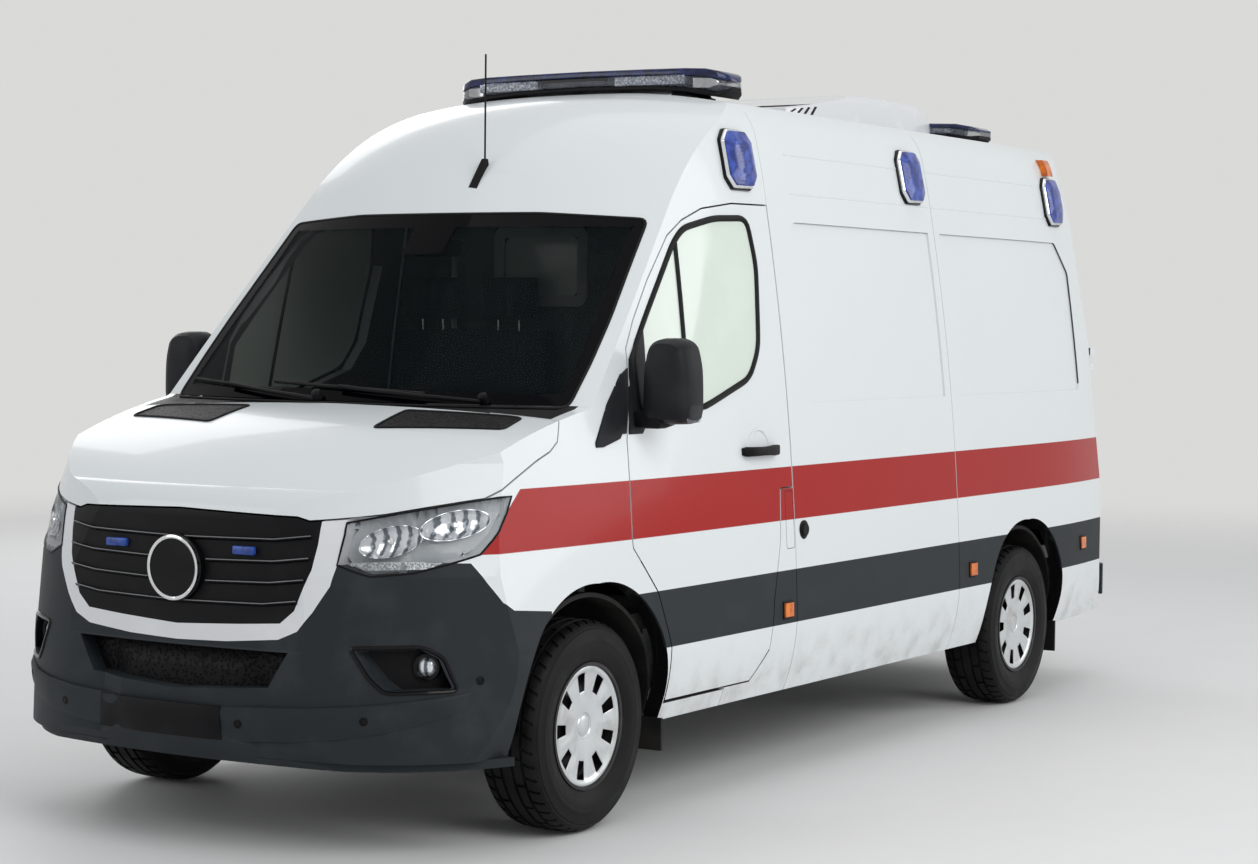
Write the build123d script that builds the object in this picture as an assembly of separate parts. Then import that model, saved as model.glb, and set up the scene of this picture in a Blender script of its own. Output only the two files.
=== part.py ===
"""Emergency ambulance on a long, high-roofed panel van.

Millimetres. +X is the vehicle's left, the front faces -Y, +Z is up, and the origin is on the
ground under the middle of the overall length. Heights are above the ground, and a "distance"
is measured backwards from the foremost point of the front bumper.
"""
from build123d import *
import math
import os

# ---- driving dimensions: the whole vehicle ----
LENGTH = 5932.0            # bumper to rear step
HALF_WIDTH = 1011.0        # body half width at the rub strips
ROOF_HEIGHT = 2600.0       # crown of the roof
FRONT_AXLE = 1004.0        # distance of the front axle
WHEELBASE = 3665.0
REAR_AXLE = FRONT_AXLE + WHEELBASE
TRACK = 1710.0             # between the tyres' middle planes

# ---- body shell ----
WALL = 60.0                # whole thickness of a door or body side
SKIN = 8.0                 # outer skin, also the glass and the flush trim
SEAM = 5.0                 # width of a panel seam's groove
SHUT_GAP = 6.0             # gap round a door or lid at the skin
SHUT_RELIEF = 14.0         # gap behind the skin, where the door's flange swings
SILL_HEIGHT = 318.0        # lower edge of the body sides
REAR_FACE = 5905.0         # distance of the rear doors' outer face
CAB_REAR = 2400.0          # seam between the cab and the load body
MID_SEAM = 3900.0          # seam between the two side panels
ROOF_SEAM = 2500.0         # height where the side panels meet the roof
FLOOR_TOP = 690.0
FLOOR_THICK = 60.0
BULKHEAD_DEPTH = 2420.0
BULKHEAD_THICK = 30.0

# ---- front end ----
BONNET_REAR = 872.0        # distance of the bonnet's rear edge
SCREEN_BASE = 1420.0       # height of the windscreen's lower edge
SCREEN_TOP = 2092.0
SCREEN_SLOPE = 47.6        # degrees from the horizontal
BUMPER_BOTTOM = 290.0
PROFILE_BOTTOM = 255.0     # the envelope reaches below the sills by more than a wall

# ---- doors ----
DOOR_BOTTOM = 385.0
REAR_DOOR_HALF = 779.0     # hinge edge of a rear door from the middle
REAR_DOOR_BOTTOM = 560.0
REAR_DOOR_TOP = 2360.0
REAR_DOOR_GAP = 12.0

# ---- wheels ----
TYRE_RADIUS = 355.5
TYRE_WIDTH = 235.0
BEAD_RADIUS = 203.0
SPOKES = 9
ARCH_RADIUS = 430.0        # inner radius of the wheel-arch liners
LINER = 15.0
KINGPIN = 765.0            # kingpin axis from the middle
FIT = 0.3                  # running clearance at the kingpins and hubs

# ---- chassis ----
RAIL_MID = 430.0           # middle of a frame rail from the vehicle's middle
RAIL_WIDTH = 80.0
RAIL_BOTTOM = 450.0
ARM_LOW = 185.0            # underside of the lower suspension arm
ARM_HIGH = 490.3           # underside of the upper arm

FRONT = -LENGTH / 2
FLOOR_BOTTOM = FLOOR_TOP - FLOOR_THICK
WHEEL_MID = TRACK / 2
RAIL_IN = RAIL_MID - RAIL_WIDTH / 2
RAIL_OUT = RAIL_MID + RAIL_WIDTH / 2
REACH = 1200.0             # wider than any half section

os.makedirs("parts", exist_ok=True)


def at(distance):
    """Row coordinate Y of a distance behind the front bumper."""
    return FRONT + distance


def save(name, *shapes):
    """Write one sub-part, whose solids stay apart, to its own STEP file."""
    solids = [solid for shape in shapes for solid in shape.solids()]
    export_step(solids[0] if len(solids) == 1 else Compound(solids), f"parts/{name}.step")
    return Compound(solids)


def block(x0, x1, d0, d1, z0, z1):
    """Box between two X values, two distances and two heights."""
    size = Box(x1 - x0, d1 - d0, z1 - z0)
    return Pos((x0 + x1) / 2, at((d0 + d1) / 2), (z0 + z1) / 2) * size


def outline(plane, points, radius=0.0, grow=0.0):
    """Closed polygon on a plane, with its corners rounded or its edge moved out."""
    with BuildSketch(plane) as sketch:
        with BuildLine():
            Polyline(*points, close=True)
        make_face()
        if grow:
            offset(amount=grow, kind=Kind.INTERSECTION, mode=Mode.REPLACE)
        if radius:
            fillet(sketch.vertices(), radius)
    return sketch.sketch


def side_prism(points, x0, x1, radius=0.0, grow=0.0):
    """Outline of (distance, height) points, seen from the side, from x0 to x1."""
    face = outline(Plane.YZ.offset(x0), [(at(d), z) for d, z in points], radius, grow)
    return extrude(face, amount=x1 - x0)


def front_prism(points, d0, d1, radius=0.0, grow=0.0):
    """Outline of (x, height) points, seen from the front, from distance d0 to d1."""
    face = outline(Plane.XZ.offset(-at(d1)), points, radius, grow)
    return extrude(face, amount=d1 - d0)


def plan_prism(points, z0, z1, radius=0.0, grow=0.0):
    """Outline of (x, distance) points, seen from above, from z0 to z1."""
    face = outline(Plane.XY.offset(z0), [(x, at(d)) for x, d in points], radius, grow)
    return extrude(face, amount=z1 - z0)


def other_side(shape):
    return mirror(shape, about=Plane.YZ)


def both_sides(points):
    """Points of the left half of a front outline, with the right half added."""
    return points + [(-x, z) for x, z in reversed(points) if x]


# ---- body envelope: what the shell, skin and openings are cut from ----
# Half section: distance in from the widest line, and height. Pairs after the first are arcs.
SIDE_SECTION = [
    (56, SILL_HEIGHT), (11, 470), (0, 660), (53, 1416), (154, 2150),
    (175, 2270), (205, 2405), (230, 2467), (296, 2535),
]
# Sections along the body: distance, then how far in the sill, waist and roof edge are.
STATIONS = [
    (-200, 0, 85, 140), (1150, 0, 30, 75), (1700, 0, 10, 35), (CAB_REAR, 0, 0, 0),
    (3550, 0, 0, 0), (4700, 0, 0, 0), (5250, 15, 15, 15), (5600, 45, 45, 45),
    (5960, 90, 90, 90),
]
# Plan of the nose by height: corner radius, and how far the middle bulges past the corners.
NOSE_PLAN = [(200, 700, 60), (600, 730, 60), (900, 790, 60), (1050, 870, 40), (1250, 1020, 2),
             (ROOF_HEIGHT + 100, 1020, 2)]
# Plan of the tail by height: half width where the corners start, and distance of the rear face.
TAIL_PLAN = [(200, 965, REAR_FACE), (900, 965, REAR_FACE), (1630, 895, REAR_FACE - 25),
             (2200, 810, REAR_FACE - 75), (ROOF_HEIGHT + 100, 690, REAR_FACE - 145)]
# Middle profile of the front: distance and height.
NOSE_PROFILE = [
    (100, PROFILE_BOTTOM), (0, 370), (0, 600), (30, 665), (45, 1060), (66, 1125), (130, 1165),
    (480, 1312), (860, 1410), (884, SCREEN_BASE), (1497, SCREEN_TOP), (1580, 2183),
]
NOSE_AXIS = 3400.0         # the nose and windscreen are curved in plan about this distance


def moved_in(points, inset, first, last):
    """Points of a chain moved to the right of its travel by inset."""
    result = []
    for k, (a, b) in enumerate(points):
        if k == 0:
            da, db = first
        elif k == len(points) - 1:
            da, db = last
        else:
            before = math.atan2(b - points[k - 1][1], a - points[k - 1][0])
            after = math.atan2(points[k + 1][1] - b, points[k + 1][0] - a)
            size = 1 + math.cos(after - before)
            da = (math.sin(before) + math.sin(after)) / size
            db = -(math.cos(before) + math.cos(after)) / size
        result.append((a + da * inset, b + db * inset))
    return result


def body_section(station, inset):
    distance, sill_in, waist_in, edge_in = station
    taper = [sill_in] * 3 + [waist_in] + [edge_in] * 5
    half = [(-(HALF_WIDTH - a - t), z) for (a, z), t in zip(SIDE_SECTION, taper)]
    half = moved_in(half + [(0, ROOF_HEIGHT)], inset, (1, 0), (0, -1))
    left = [(-x, z) for x, z in half[:-1]]
    right = half[:-1]
    with BuildSketch(Plane.XZ.offset(-at(distance))) as sketch:
        with BuildLine():
            Line(right[0], left[0])
            for k in range(0, len(left) - 1, 2):
                ThreePointArc(left[k], left[k + 1], left[k + 2])
                ThreePointArc(right[k + 2], right[k + 1], right[k])
            ThreePointArc(left[-1], half[-1], right[-1])
        make_face()
    return sketch.sketch.faces()[0]


def nose(inset):
    """The front half, from the bumper over the bonnet, windscreen and forehead to the roof."""
    slope = math.radians(SCREEN_SLOPE)
    radius = (ROOF_HEIGHT - NOSE_PROFILE[-1][1]) / (1 - math.cos(slope))
    roof_start = NOSE_PROFILE[-1][0] + radius * math.sin(slope)
    middle = (roof_start - radius * math.sin(slope / 2),
              ROOF_HEIGHT - radius * (1 - math.cos(slope / 2)))
    chain = NOSE_PROFILE + [middle, (roof_start, ROOF_HEIGHT), (NOSE_AXIS, ROOF_HEIGHT)]
    p = [(at(d), z) for d, z in moved_in(chain, inset, (0, 1), (0, -1))]
    with BuildSketch(Plane.YZ) as sketch:
        with BuildLine():
            Polyline(*p[:5])
            ThreePointArc(*p[4:7])
            ThreePointArc(*p[6:9])
            Polyline(*p[8:12])
            ThreePointArc(*p[11:14])
            Polyline(*p[13:], (p[-1][0], p[0][1]), p[0])
        make_face()
    turned = revolve(sketch.sketch, axis=Axis((0, at(NOSE_AXIS), 0), (0, 0, 1)))
    return turned & block(-REACH, REACH, -100, NOSE_AXIS, 0, ROOF_HEIGHT + 100)


def tail(inset):
    """The rear half, in profile."""
    end = REAR_FACE - inset
    top = ROOF_HEIGHT - inset
    points = [
        (NOSE_AXIS, PROFILE_BOTTOM + inset), (end - 45, PROFILE_BOTTOM + inset), (end, 600),
        (end, 1900), (end - 115, top), (NOSE_AXIS, top),
    ]
    return side_prism(points, -REACH, REACH)


def nose_level(height, corner_radius, bulge, inset):
    """Plan of the front half at one height, with rounded corners."""
    half = HALF_WIDTH + 30 - inset
    radius = corner_radius - inset
    x, y = HALF_WIDTH + 30 - corner_radius, at(corner_radius + 40)
    dip = radius * math.sqrt(0.5)
    rear = at(NOSE_AXIS)
    with BuildSketch(Plane.XY.offset(height)) as sketch:
        with BuildLine():
            Line((half, rear), (half, y))
            ThreePointArc((half, y), (x + dip, y - dip), (x, y - radius))
            ThreePointArc((x, y - radius), (0, y - radius - bulge), (-x, y - radius))
            ThreePointArc((-x, y - radius), (-x - dip, y - dip), (-half, y))
            Polyline((-half, y), (-half, rear), (half, rear))
        make_face()
    return sketch.sketch.faces()[0]


def tail_level(height, half, face, inset):
    """Plan of the rear half at one height, with rounded corners."""
    a, b, c = half + 40 - inset, half - 30 - inset, half - 120 - inset
    da, db, dc = at(face - 600 - inset), at(face - 170 - inset), at(face - inset)
    front = at(NOSE_AXIS)
    with BuildSketch(Plane.XY.offset(height)) as sketch:
        with BuildLine():
            Polyline((-a, da), (-REACH, da), (-REACH, front), (REACH, front), (REACH, da), (a, da))
            ThreePointArc((a, da), (b, db), (c, dc))
            Line((c, dc), (-c, dc))
            ThreePointArc((-c, dc), (-b, db), (-a, da))
        make_face()
    return sketch.sketch.faces()[0]


def nose_plan(inset):
    return loft([nose_level(*level, inset) for level in NOSE_PLAN], ruled=True)


def tail_plan(inset):
    return loft([tail_level(*level, inset) for level in TAIL_PLAN], ruled=True)


def envelope(inset):
    sides = loft([body_section(station, inset) for station in STATIONS])
    return sides & ((nose(inset) & nose_plan(inset)) + (tail(inset) & tail_plan(inset)))


OUTER = envelope(0)
UNDER_SKIN = envelope(SKIN)
INNER = envelope(WALL)
SHELL = OUTER - INNER
SKIN_LAYER = OUTER - UNDER_SKIN
BACK_LAYER = UNDER_SKIN - INNER

# ---- outlines on the body side: distance, height ----
DOOR_OUTLINE = [
    (1460, DOOR_BOTTOM), (1455, 575), (1371, 775), (1225, 936), (1222, 968), (1243, 1304),
    (1284, 1440), (1303, 1615), (1370, 1711), (1495, 1851), (1668, 2013), (1779, 2072),
    (1926, 2120), (2140, 2147), (CAB_REAR, 2150), (CAB_REAR, 1085), (2300, 1085), (2285, 897),
    (2224, 678), (2199, 494), (2085, DOOR_BOTTOM),
]
DOOR_WINDOW = [
    (1700, 1985), (1780, 2040), (2000, 2083), (2230, 2092), (2256, 1916), (2205, 1607),
    (2120, 1500), (1813, 1412), (1500, 1345), (1335, 1400), (1345, 1600), (1455, 1725),
]
BONNET_SHUT = [
    (-50, 1040), (470, 1137), (600, 1195), (719, 1247), (800, 1276), (847, 1307), (868, 1367),
    (BONNET_REAR, 1500), (-50, 1500),
]
LAMP_SIDE = [
    (-50, 890), (164, 900), (246, 915), (343, 944), (421, 968), (467, 1013), (541, 1095),
    (574, 1146), (574, 1200), (-50, 1200),
]
BUMPER_TOP = [
    (-50, BUMPER_BOTTOM), (700, BUMPER_BOTTOM), (720, 768), (521, 787), (475, 815), (428, 880),
    (390, 942), (343, 944), (246, 915), (164, 904), (-50, 904),
]
STRIP_LOW = 580.0
STRIP_HIGH = 780.0
# ---- outlines on the front: x, height ----
BONNET_EDGE = both_sides([(0, 1092), (440, 1080), (510, 1060), (590, 1070), (883, 1136),
                          (1100, 1184), (1100, 1600)])
FRAME_OUTSIDE = both_sides([(590, 1110), (588, 1030), (577, 935), (562, 871), (512, 788),
                            (462, 726), (395, 697), (200, 680), (0, 674)])
FRAME_INSIDE = both_sides([(520, 1110), (515, 1000), (503, 920), (450, 790), (400, 748),
                           (250, 738), (0, 725)])
LAMP_OUTLINE = [(555, 1062), (589, 1068), (883, 1136), (1100, 1184), (1100, 880), (555, 880)]
LAMP_CORNER = [(555, 880), (555, 938), (584, 936), (636, 915), (672, 904), (672, 880)]
INTAKE = both_sides([(435, 658), (365, 543), (0, 522)])
FOG_RECESS = [(638, 674), (808, 678), (850, 648), (884, 552), (733, 548), (696, 585)]
SCREEN_OUTLINE = [
    (850, SCREEN_BASE - 12), (848, 1560), (836, 1710), (808, 1905), (788, SCREEN_TOP - 22),
    (400, SCREEN_TOP - 2), (-400, SCREEN_TOP - 2), (-788, SCREEN_TOP - 22), (-808, 1905),
    (-836, 1710), (-848, 1560), (-850, SCREEN_BASE - 12),
]


def arch_cut(middle, front, top, rear):
    """Opening of a wheel arch, seen from the side, through both body sides."""
    side = (top - 400) * 0.72 + 400
    with BuildSketch(Plane.YZ.offset(-REACH)) as sketch:
        with BuildLine():
            a, b, c = (at(front), 400), (at(middle), top), (at(rear), 400)
            ThreePointArc(a, (at(front + (middle - front) * 0.27), side), b)
            ThreePointArc(b, (at(rear - (rear - middle) * 0.27), side), c)
            Polyline(c, (at(rear), 200), (at(front), 200), a)
        make_face()
    return extrude(sketch.sketch, amount=2 * REACH)


ARCHES = arch_cut(FRONT_AXLE, FRONT_AXLE - 462, 836, FRONT_AXLE + 449) \
    + arch_cut(REAR_AXLE, REAR_AXLE - 462, 832, REAR_AXLE + 440)
SHELL = SHELL - ARCHES
SKIN_LAYER = SKIN_LAYER - ARCHES
BACK_LAYER = BACK_LAYER - ARCHES

CAB_ZONE = block(-REACH, REACH, -100, CAB_REAR, 0, ROOF_HEIGHT + 100)
cab_shell = SHELL & CAB_ZONE
cab_skin = SKIN_LAYER & CAB_ZONE
load_shell = SHELL - CAB_ZONE
load_skin = SKIN_LAYER - CAB_ZONE


def groove(d0, d1, z0, z1):
    """Seam in the skin, open to both sides."""
    return block(-REACH, REACH, d0, d1, z0, z1) & SKIN_LAYER


SEAMS = [
    groove(CAB_REAR - SEAM / 2, CAB_REAR + SEAM / 2, SILL_HEIGHT, ROOF_SEAM),
    groove(MID_SEAM - SEAM / 2, MID_SEAM + SEAM / 2, SILL_HEIGHT, ROOF_SEAM),
]
LEFT = block(0, REACH, -100, LENGTH + 100, 0, ROOF_HEIGHT + 100)
STRIP_ZONE = block(-REACH, REACH, 0, LENGTH, STRIP_LOW, STRIP_HIGH)

# ---- front doors ----
door_cut = side_prism(DOOR_OUTLINE, 400, REACH)
window_cut = side_prism(DOOR_WINDOW, 400, REACH, radius=25)
door_skin = cab_skin & side_prism(DOOR_OUTLINE, 400, REACH, grow=-SHUT_GAP)
door_back = (BACK_LAYER & CAB_ZONE) & side_prism(DOOR_OUTLINE, 400, REACH, grow=-SHUT_RELIEF)
door = (door_skin + door_back) - window_cut
door_glass = (cab_skin & LEFT) & window_cut
# mirror: arm from the door's front lower window corner, housing outboard of it
MIRROR_MID = (1065, 1340, 1500)    # x, distance, height of the housing's middle
MIRROR_SIZE = (190, 130, 300)
housing = Pos(MIRROR_MID[0], at(MIRROR_MID[1]), MIRROR_MID[2]) * Box(*MIRROR_SIZE)
housing = fillet(housing.edges().filter_by(Axis.Y), 70)
housing = fillet(housing.edges().sort_by(Axis.Y)[:6], 30)
arm = block(900, MIRROR_MID[0], 1285, 1345, 1340, 1390)
mirror_left = (housing + arm) - OUTER

# ---- bonnet, fenders, front frame, lamps, bumper ----
bonnet_cut = side_prism(BONNET_SHUT, -REACH, REACH) \
    & front_prism(BONNET_EDGE, -100, BONNET_REAR)
bonnet_free = side_prism(BONNET_SHUT, -REACH, REACH, grow=-SHUT_GAP) \
    & front_prism(BONNET_EDGE, -100, BONNET_REAR, grow=-SHUT_GAP)
bonnet = cab_shell & bonnet_free
screen_cut = front_prism(SCREEN_OUTLINE, 500, 1900, radius=30)
windscreen = (cab_skin & screen_cut) - bonnet_cut
ABOVE_PILLAR = [(BONNET_REAR, 1425), (1110, 1419), (1330, 1340), (CAB_REAR, 1340),
                (CAB_REAR, 2700), (BONNET_REAR, 2700)]
pillar_cut = side_prism(ABOVE_PILLAR, -REACH, REACH)
doors_cut = door_cut + other_side(door_cut)
cab_frame = ((cab_shell & pillar_cut) - screen_cut) - doors_cut
cowl_cut = plan_prism([(-880, BONNET_REAR), (880, BONNET_REAR), (880, 1200), (-880, 1200)],
                      1300, SCREEN_BASE + 5)
cowl_panel = ((cab_shell & cowl_cut) - screen_cut) - pillar_cut
# hinge brackets reach the bonnet's rear edge
bonnet_bracket = block(560, 640, BONNET_REAR - 20, BONNET_REAR + 8, 1345, 1400) & OUTER
bonnet_bracket = bonnet_bracket - side_prism(BONNET_SHUT, -REACH, REACH, grow=FIT - SHUT_GAP)
cowl_panel = cowl_panel + bonnet_bracket + other_side(bonnet_bracket)
frame_zone = front_prism(FRAME_OUTSIDE, -100, 300)
grille_zone = front_prism(FRAME_INSIDE, -100, 300)
grille_frame = ((cab_shell & frame_zone) - grille_zone) - bonnet_cut
grille = (cab_shell & grille_zone) - bonnet_cut
lamp_corner = front_prism(LAMP_CORNER, -100, 300)
bumper_zone = side_prism(BUMPER_TOP, -REACH, REACH) + lamp_corner + other_side(lamp_corner)
lamp_zone = front_prism(LAMP_OUTLINE, -100, 590) & side_prism(LAMP_SIDE, 0, REACH)
headlamp = (((cab_shell & lamp_zone) - bonnet_cut) - bumper_zone) - frame_zone
LIP_INSET = 30.0
lip = (nose_plan(LIP_INSET) - nose_plan(LIP_INSET + WALL)) & nose(0)
lip = lip & block(-1000, 1000, -100, 530, BUMPER_BOTTOM, SILL_HEIGHT)
intake_cut = front_prism(INTAKE, -100, 300)
fog_cut = front_prism(FOG_RECESS, -100, 500, radius=8)
fog_cuts = fog_cut + other_side(fog_cut)
front_bumper = ((cab_shell & bumper_zone) - frame_zone) + lip - intake_cut - fog_cuts
backing = INNER & block(-REACH, REACH, -100, 600, 450, 720)
backing = backing - Pos(0, LINER, 0) * backing
fog_cup = backing & front_prism(FOG_RECESS, -100, 500, grow=20)
fog_lamp = Pos(804, at(300), 622) * Rot(90, 0, 0) * Cylinder(42, 160)
fog_lamp = fog_cup + (fog_lamp & INNER)
lower_grille = backing & front_prism(INTAKE, -100, 300, grow=20)
FENDER_REAR = 1458.0
fender_zone = block(560, REACH, 200, FENDER_REAR, SILL_HEIGHT, 1500)
fender = ((cab_shell & fender_zone) - door_cut - bonnet_cut - pillar_cut - bumper_zone)
fender = (fender - lamp_zone) - cowl_cut - screen_cut - frame_zone - bonnet_bracket
# hinge brackets fill the relief in front of the door at two heights
DOOR_HINGES = [(990, 1050), (1200, 1260)]      # lowest and highest
relief = (BACK_LAYER & door_cut) - side_prism(DOOR_OUTLINE, 400, REACH, grow=FIT - SHUT_RELIEF)
for low, high in DOOR_HINGES:
    fender = fender + (relief & block(0, REACH, 1150, 1350, low, high))

# ---- body sides, roof and rear ----
step_zone = block(-REACH, REACH, 1900, CAB_REAR, SILL_HEIGHT, 1085) - doors_cut
ROOF_HALF = 650.0          # the roof panel lies between the cant rails
ROOF_REAR = 5690.0
roof_zone = block(-ROOF_HALF, ROOF_HALF, CAB_REAR, ROOF_REAR, 2300, ROOF_HEIGHT + 100)
REAR_DOOR = [(REAR_DOOR_GAP / 2, REAR_DOOR_BOTTOM), (REAR_DOOR_HALF, REAR_DOOR_BOTTOM),
             (REAR_DOOR_HALF, 1700), (REAR_DOOR_HALF - 95, REAR_DOOR_TOP),
             (REAR_DOOR_GAP / 2, REAR_DOOR_TOP)]
REAR_OPENING = both_sides([(0, REAR_DOOR_BOTTOM - SHUT_GAP)] + [
    (x + SHUT_GAP, z + (SHUT_GAP if z > 2000 else 0) - (SHUT_GAP if z < 600 else 0))
    for x, z in REAR_DOOR[1:4]] + [(0, REAR_DOOR_TOP + SHUT_GAP)])
REAR_DEPTH = REAR_FACE - 450      # the opening is cut from here backwards
rear_zone = front_prism(REAR_OPENING, REAR_DEPTH, LENGTH + 100)
fixed_load = (load_shell - roof_zone) - rear_zone
fixed_load = fixed_load + (cab_shell & step_zone)
for seam in SEAMS:
    fixed_load = fixed_load - seam
roof_panel = (load_shell & roof_zone) - rear_zone
RECESS = [(2570, 1400), (2570, 2090), (5290, 2090), (5440, 1950), (5440, 1400)]
recess_cut = side_prism(RECESS, -REACH, REACH, radius=40) - block(
    -REACH, REACH, MID_SEAM - 60, MID_SEAM + 60, 0, 3000)
fixed_load = fixed_load - (recess_cut & SKIN_LAYER)
FRONT_HALF = block(-REACH, REACH, 1900, MID_SEAM, 0, ROOF_HEIGHT + 100)
front_bay = fixed_load & FRONT_HALF
side_panel_left = front_bay & LEFT
sliding_door = front_bay & other_side(LEFT)
rear_body = fixed_load - FRONT_HALF
TAIL_LAMP = (838, 5740, 960, 1450)     # inner x, distance, lowest and highest
lamp_x, lamp_d, lamp_low, lamp_high = TAIL_LAMP
tail_zone = block(lamp_x, REACH, lamp_d, LENGTH, lamp_low, lamp_high)
tail_lamp = (rear_body & tail_zone)
rear_body = rear_body - tail_zone - other_side(tail_zone)
REAR_WINDOW = [(110, 1420), (640, 1420), (600, 2080), (110, 2080)]
rear_window = front_prism(REAR_WINDOW, REAR_DEPTH, LENGTH + 100, radius=70)
rear_door_prism = front_prism(REAR_DOOR, REAR_DEPTH, LENGTH + 100)
tail_part = block(0, REACH, REAR_DEPTH, LENGTH, 0, ROOF_HEIGHT)
rear_door = ((load_shell & tail_part) & rear_door_prism) - rear_window
rear_glass = (load_skin & tail_part) & rear_window
# hinge barrels stand just behind the skin: a door leaf between two body leaves
HINGE_HEIGHTS = [720, 1130, 1540]
PIN_X = REAR_DOOR_HALF + 11
PIN_D = REAR_FACE + 9
BARREL = 8.0
ROOT_D = REAR_FACE - 50     # the leaves are rooted in the wall behind the leaning face
KNUCKLE_LENGTH = 36.0
body_leaves = []
for height in HINGE_HEIGHTS:
    half = KNUCKLE_LENGTH / 2
    barrel = Pos(PIN_X, at(PIN_D), height) * Cylinder(BARREL, 2 * half)
    leaf = block(PIN_X - 70, PIN_X, REAR_FACE + 1, REAR_FACE + 7, height - half, height + half)
    root = block(PIN_X - 70, PIN_X - 20, ROOT_D, REAR_FACE + 7, height - half, height + half)
    rear_door = rear_door + (barrel + leaf + root)
    for side in (1, -1):
        z0 = height + side * (2 * half + FIT)
        barrel = Pos(PIN_X, at(PIN_D), z0) * Cylinder(BARREL, 2 * half)
        leaf = block(PIN_X, PIN_X + 32, ROOT_D, REAR_FACE + 7, z0 - half, z0 + half)
        body_leaves.append(barrel + leaf)
STEP_TOP = 540.0
rear_bumper = plan_prism([(-870, 5800), (-925, 5800), (-905, 5865), (-845, LENGTH), (845, LENGTH),
                          (905, 5865), (925, 5800), (870, 5800), (870, REAR_FACE - 20),
                          (-870, REAR_FACE - 20)], 395, STEP_TOP)
rear_bumper = rear_bumper - OUTER

# rub strips: flush with the skin, cut out of what they lie on
strip_shell = (SKIN_LAYER & STRIP_ZONE)
fixed_strips = (strip_shell - doors_cut) - bumper_zone
fixed_strips = fixed_strips - block(-REACH, REACH, -100, 1000, 0, 3000)
fixed_strips = fixed_strips - block(-750, 750, 5000, LENGTH + 100, 0, 3000)
for seam in SEAMS:
    fixed_strips = fixed_strips - seam
fixed_strips = fixed_strips & block(-REACH, REACH, 0, REAR_FACE - 110, 0, 3000)
side_panel_left = side_panel_left - fixed_strips
sliding_door = sliding_door - fixed_strips
rear_body = rear_body - fixed_strips
for leaf in body_leaves:
    rear_body = rear_body + leaf + other_side(leaf)
fender = fender - fixed_strips
fender = fender.solids().sort_by(SortBy.VOLUME)[-1]     # drops a shaving at the bracket
door_strip = door & STRIP_ZONE & SKIN_LAYER
door = door - door_strip

# ---- floor, firewall, bulkhead, sills, arches ----
def wheel_house(axle, x_in, radius):
    """Upper half of a drum round a wheel, closed on its inner side."""
    drum = Pos((x_in + REACH) / 2, at(axle), TYRE_RADIUS) * Rot(0, 90, 0) * Cylinder(
        radius, REACH - x_in)
    return drum & block(0, REACH, axle - 600, axle + 600, TYRE_RADIUS - 25, 1200)


FRONT_HOUSE_IN = 505.0
REAR_HOUSE_IN = 650.0
# slots in the inner walls, for the suspension arms and for the axle tube
ARM_SLOT = block(495, 530, FRONT_AXLE - 60, FRONT_AXLE + 60, 300, 540)
AXLE_SLOT = block(645, 670, REAR_AXLE - 70, REAR_AXLE + 70, 300, 425)
HOUSES = [(FRONT_AXLE, FRONT_HOUSE_IN, ARM_SLOT), (REAR_AXLE, REAR_HOUSE_IN, AXLE_SLOT)]
liners = []
houses = []
for axle, x_in, slot in HOUSES:
    whole = wheel_house(axle, x_in, ARCH_RADIUS + LINER)
    houses.append(whole)
    hollow = wheel_house(axle, x_in + LINER, ARCH_RADIUS)
    liner = ((whole - hollow) & INNER) - slot
    liners += [liner, other_side(liner)]
house_cuts = houses + [other_side(house) for house in houses]
FIREWALL = (1052.0, 1092.0)
FIREWALL_TOP = 1298.0
CAB_FLOOR_HALF = 880.0     # the cab floor stops short of the doors
CAB_FLOOR_REAR = CAB_REAR - 60
slab = block(-REACH, REACH, CAB_FLOOR_REAR, REAR_FACE - 140, FLOOR_BOTTOM, FLOOR_TOP) & INNER
slab = slab + block(-CAB_FLOOR_HALF, CAB_FLOOR_HALF, FIREWALL[0], CAB_FLOOR_REAR + 20,
                    FLOOR_BOTTOM, FLOOR_TOP)
floor_pan = slab + block(-CAB_FLOOR_HALF, CAB_FLOOR_HALF, *FIREWALL, FLOOR_BOTTOM, FIREWALL_TOP)
for house in house_cuts:
    floor_pan = floor_pan - house
load_board = block(-640, 640, 2470, 5700, FLOOR_TOP, FLOOR_TOP + 12)
floor_pan = floor_pan + load_board
bulkhead = block(-REACH, REACH, BULKHEAD_DEPTH, BULKHEAD_DEPTH + BULKHEAD_THICK, FLOOR_TOP, 2700)
HATCH = [(-345, 1800), (15, 1800), (15, 2040), (-345, 2040)]
bulkhead = (bulkhead & INNER) - front_prism(HATCH, 2300, 2600, radius=45)
SILL_IN = 860.0
SILL_TOP = DOOR_BOTTOM - SHUT_GAP
sill_front = FRONT_AXLE + ARCH_RADIUS + LINER + 30
sill_rear = REAR_AXLE - ARCH_RADIUS - LINER - 40
sill = block(SILL_IN, 880, sill_front, sill_rear, 335, FLOOR_BOTTOM)
sill = sill + (block(870, 960, sill_front, 2330, 335, SILL_TOP) & INNER)
sill = sill + (SHELL & block(0, REACH, FENDER_REAR, 1895, SILL_HEIGHT, SILL_TOP))

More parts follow.
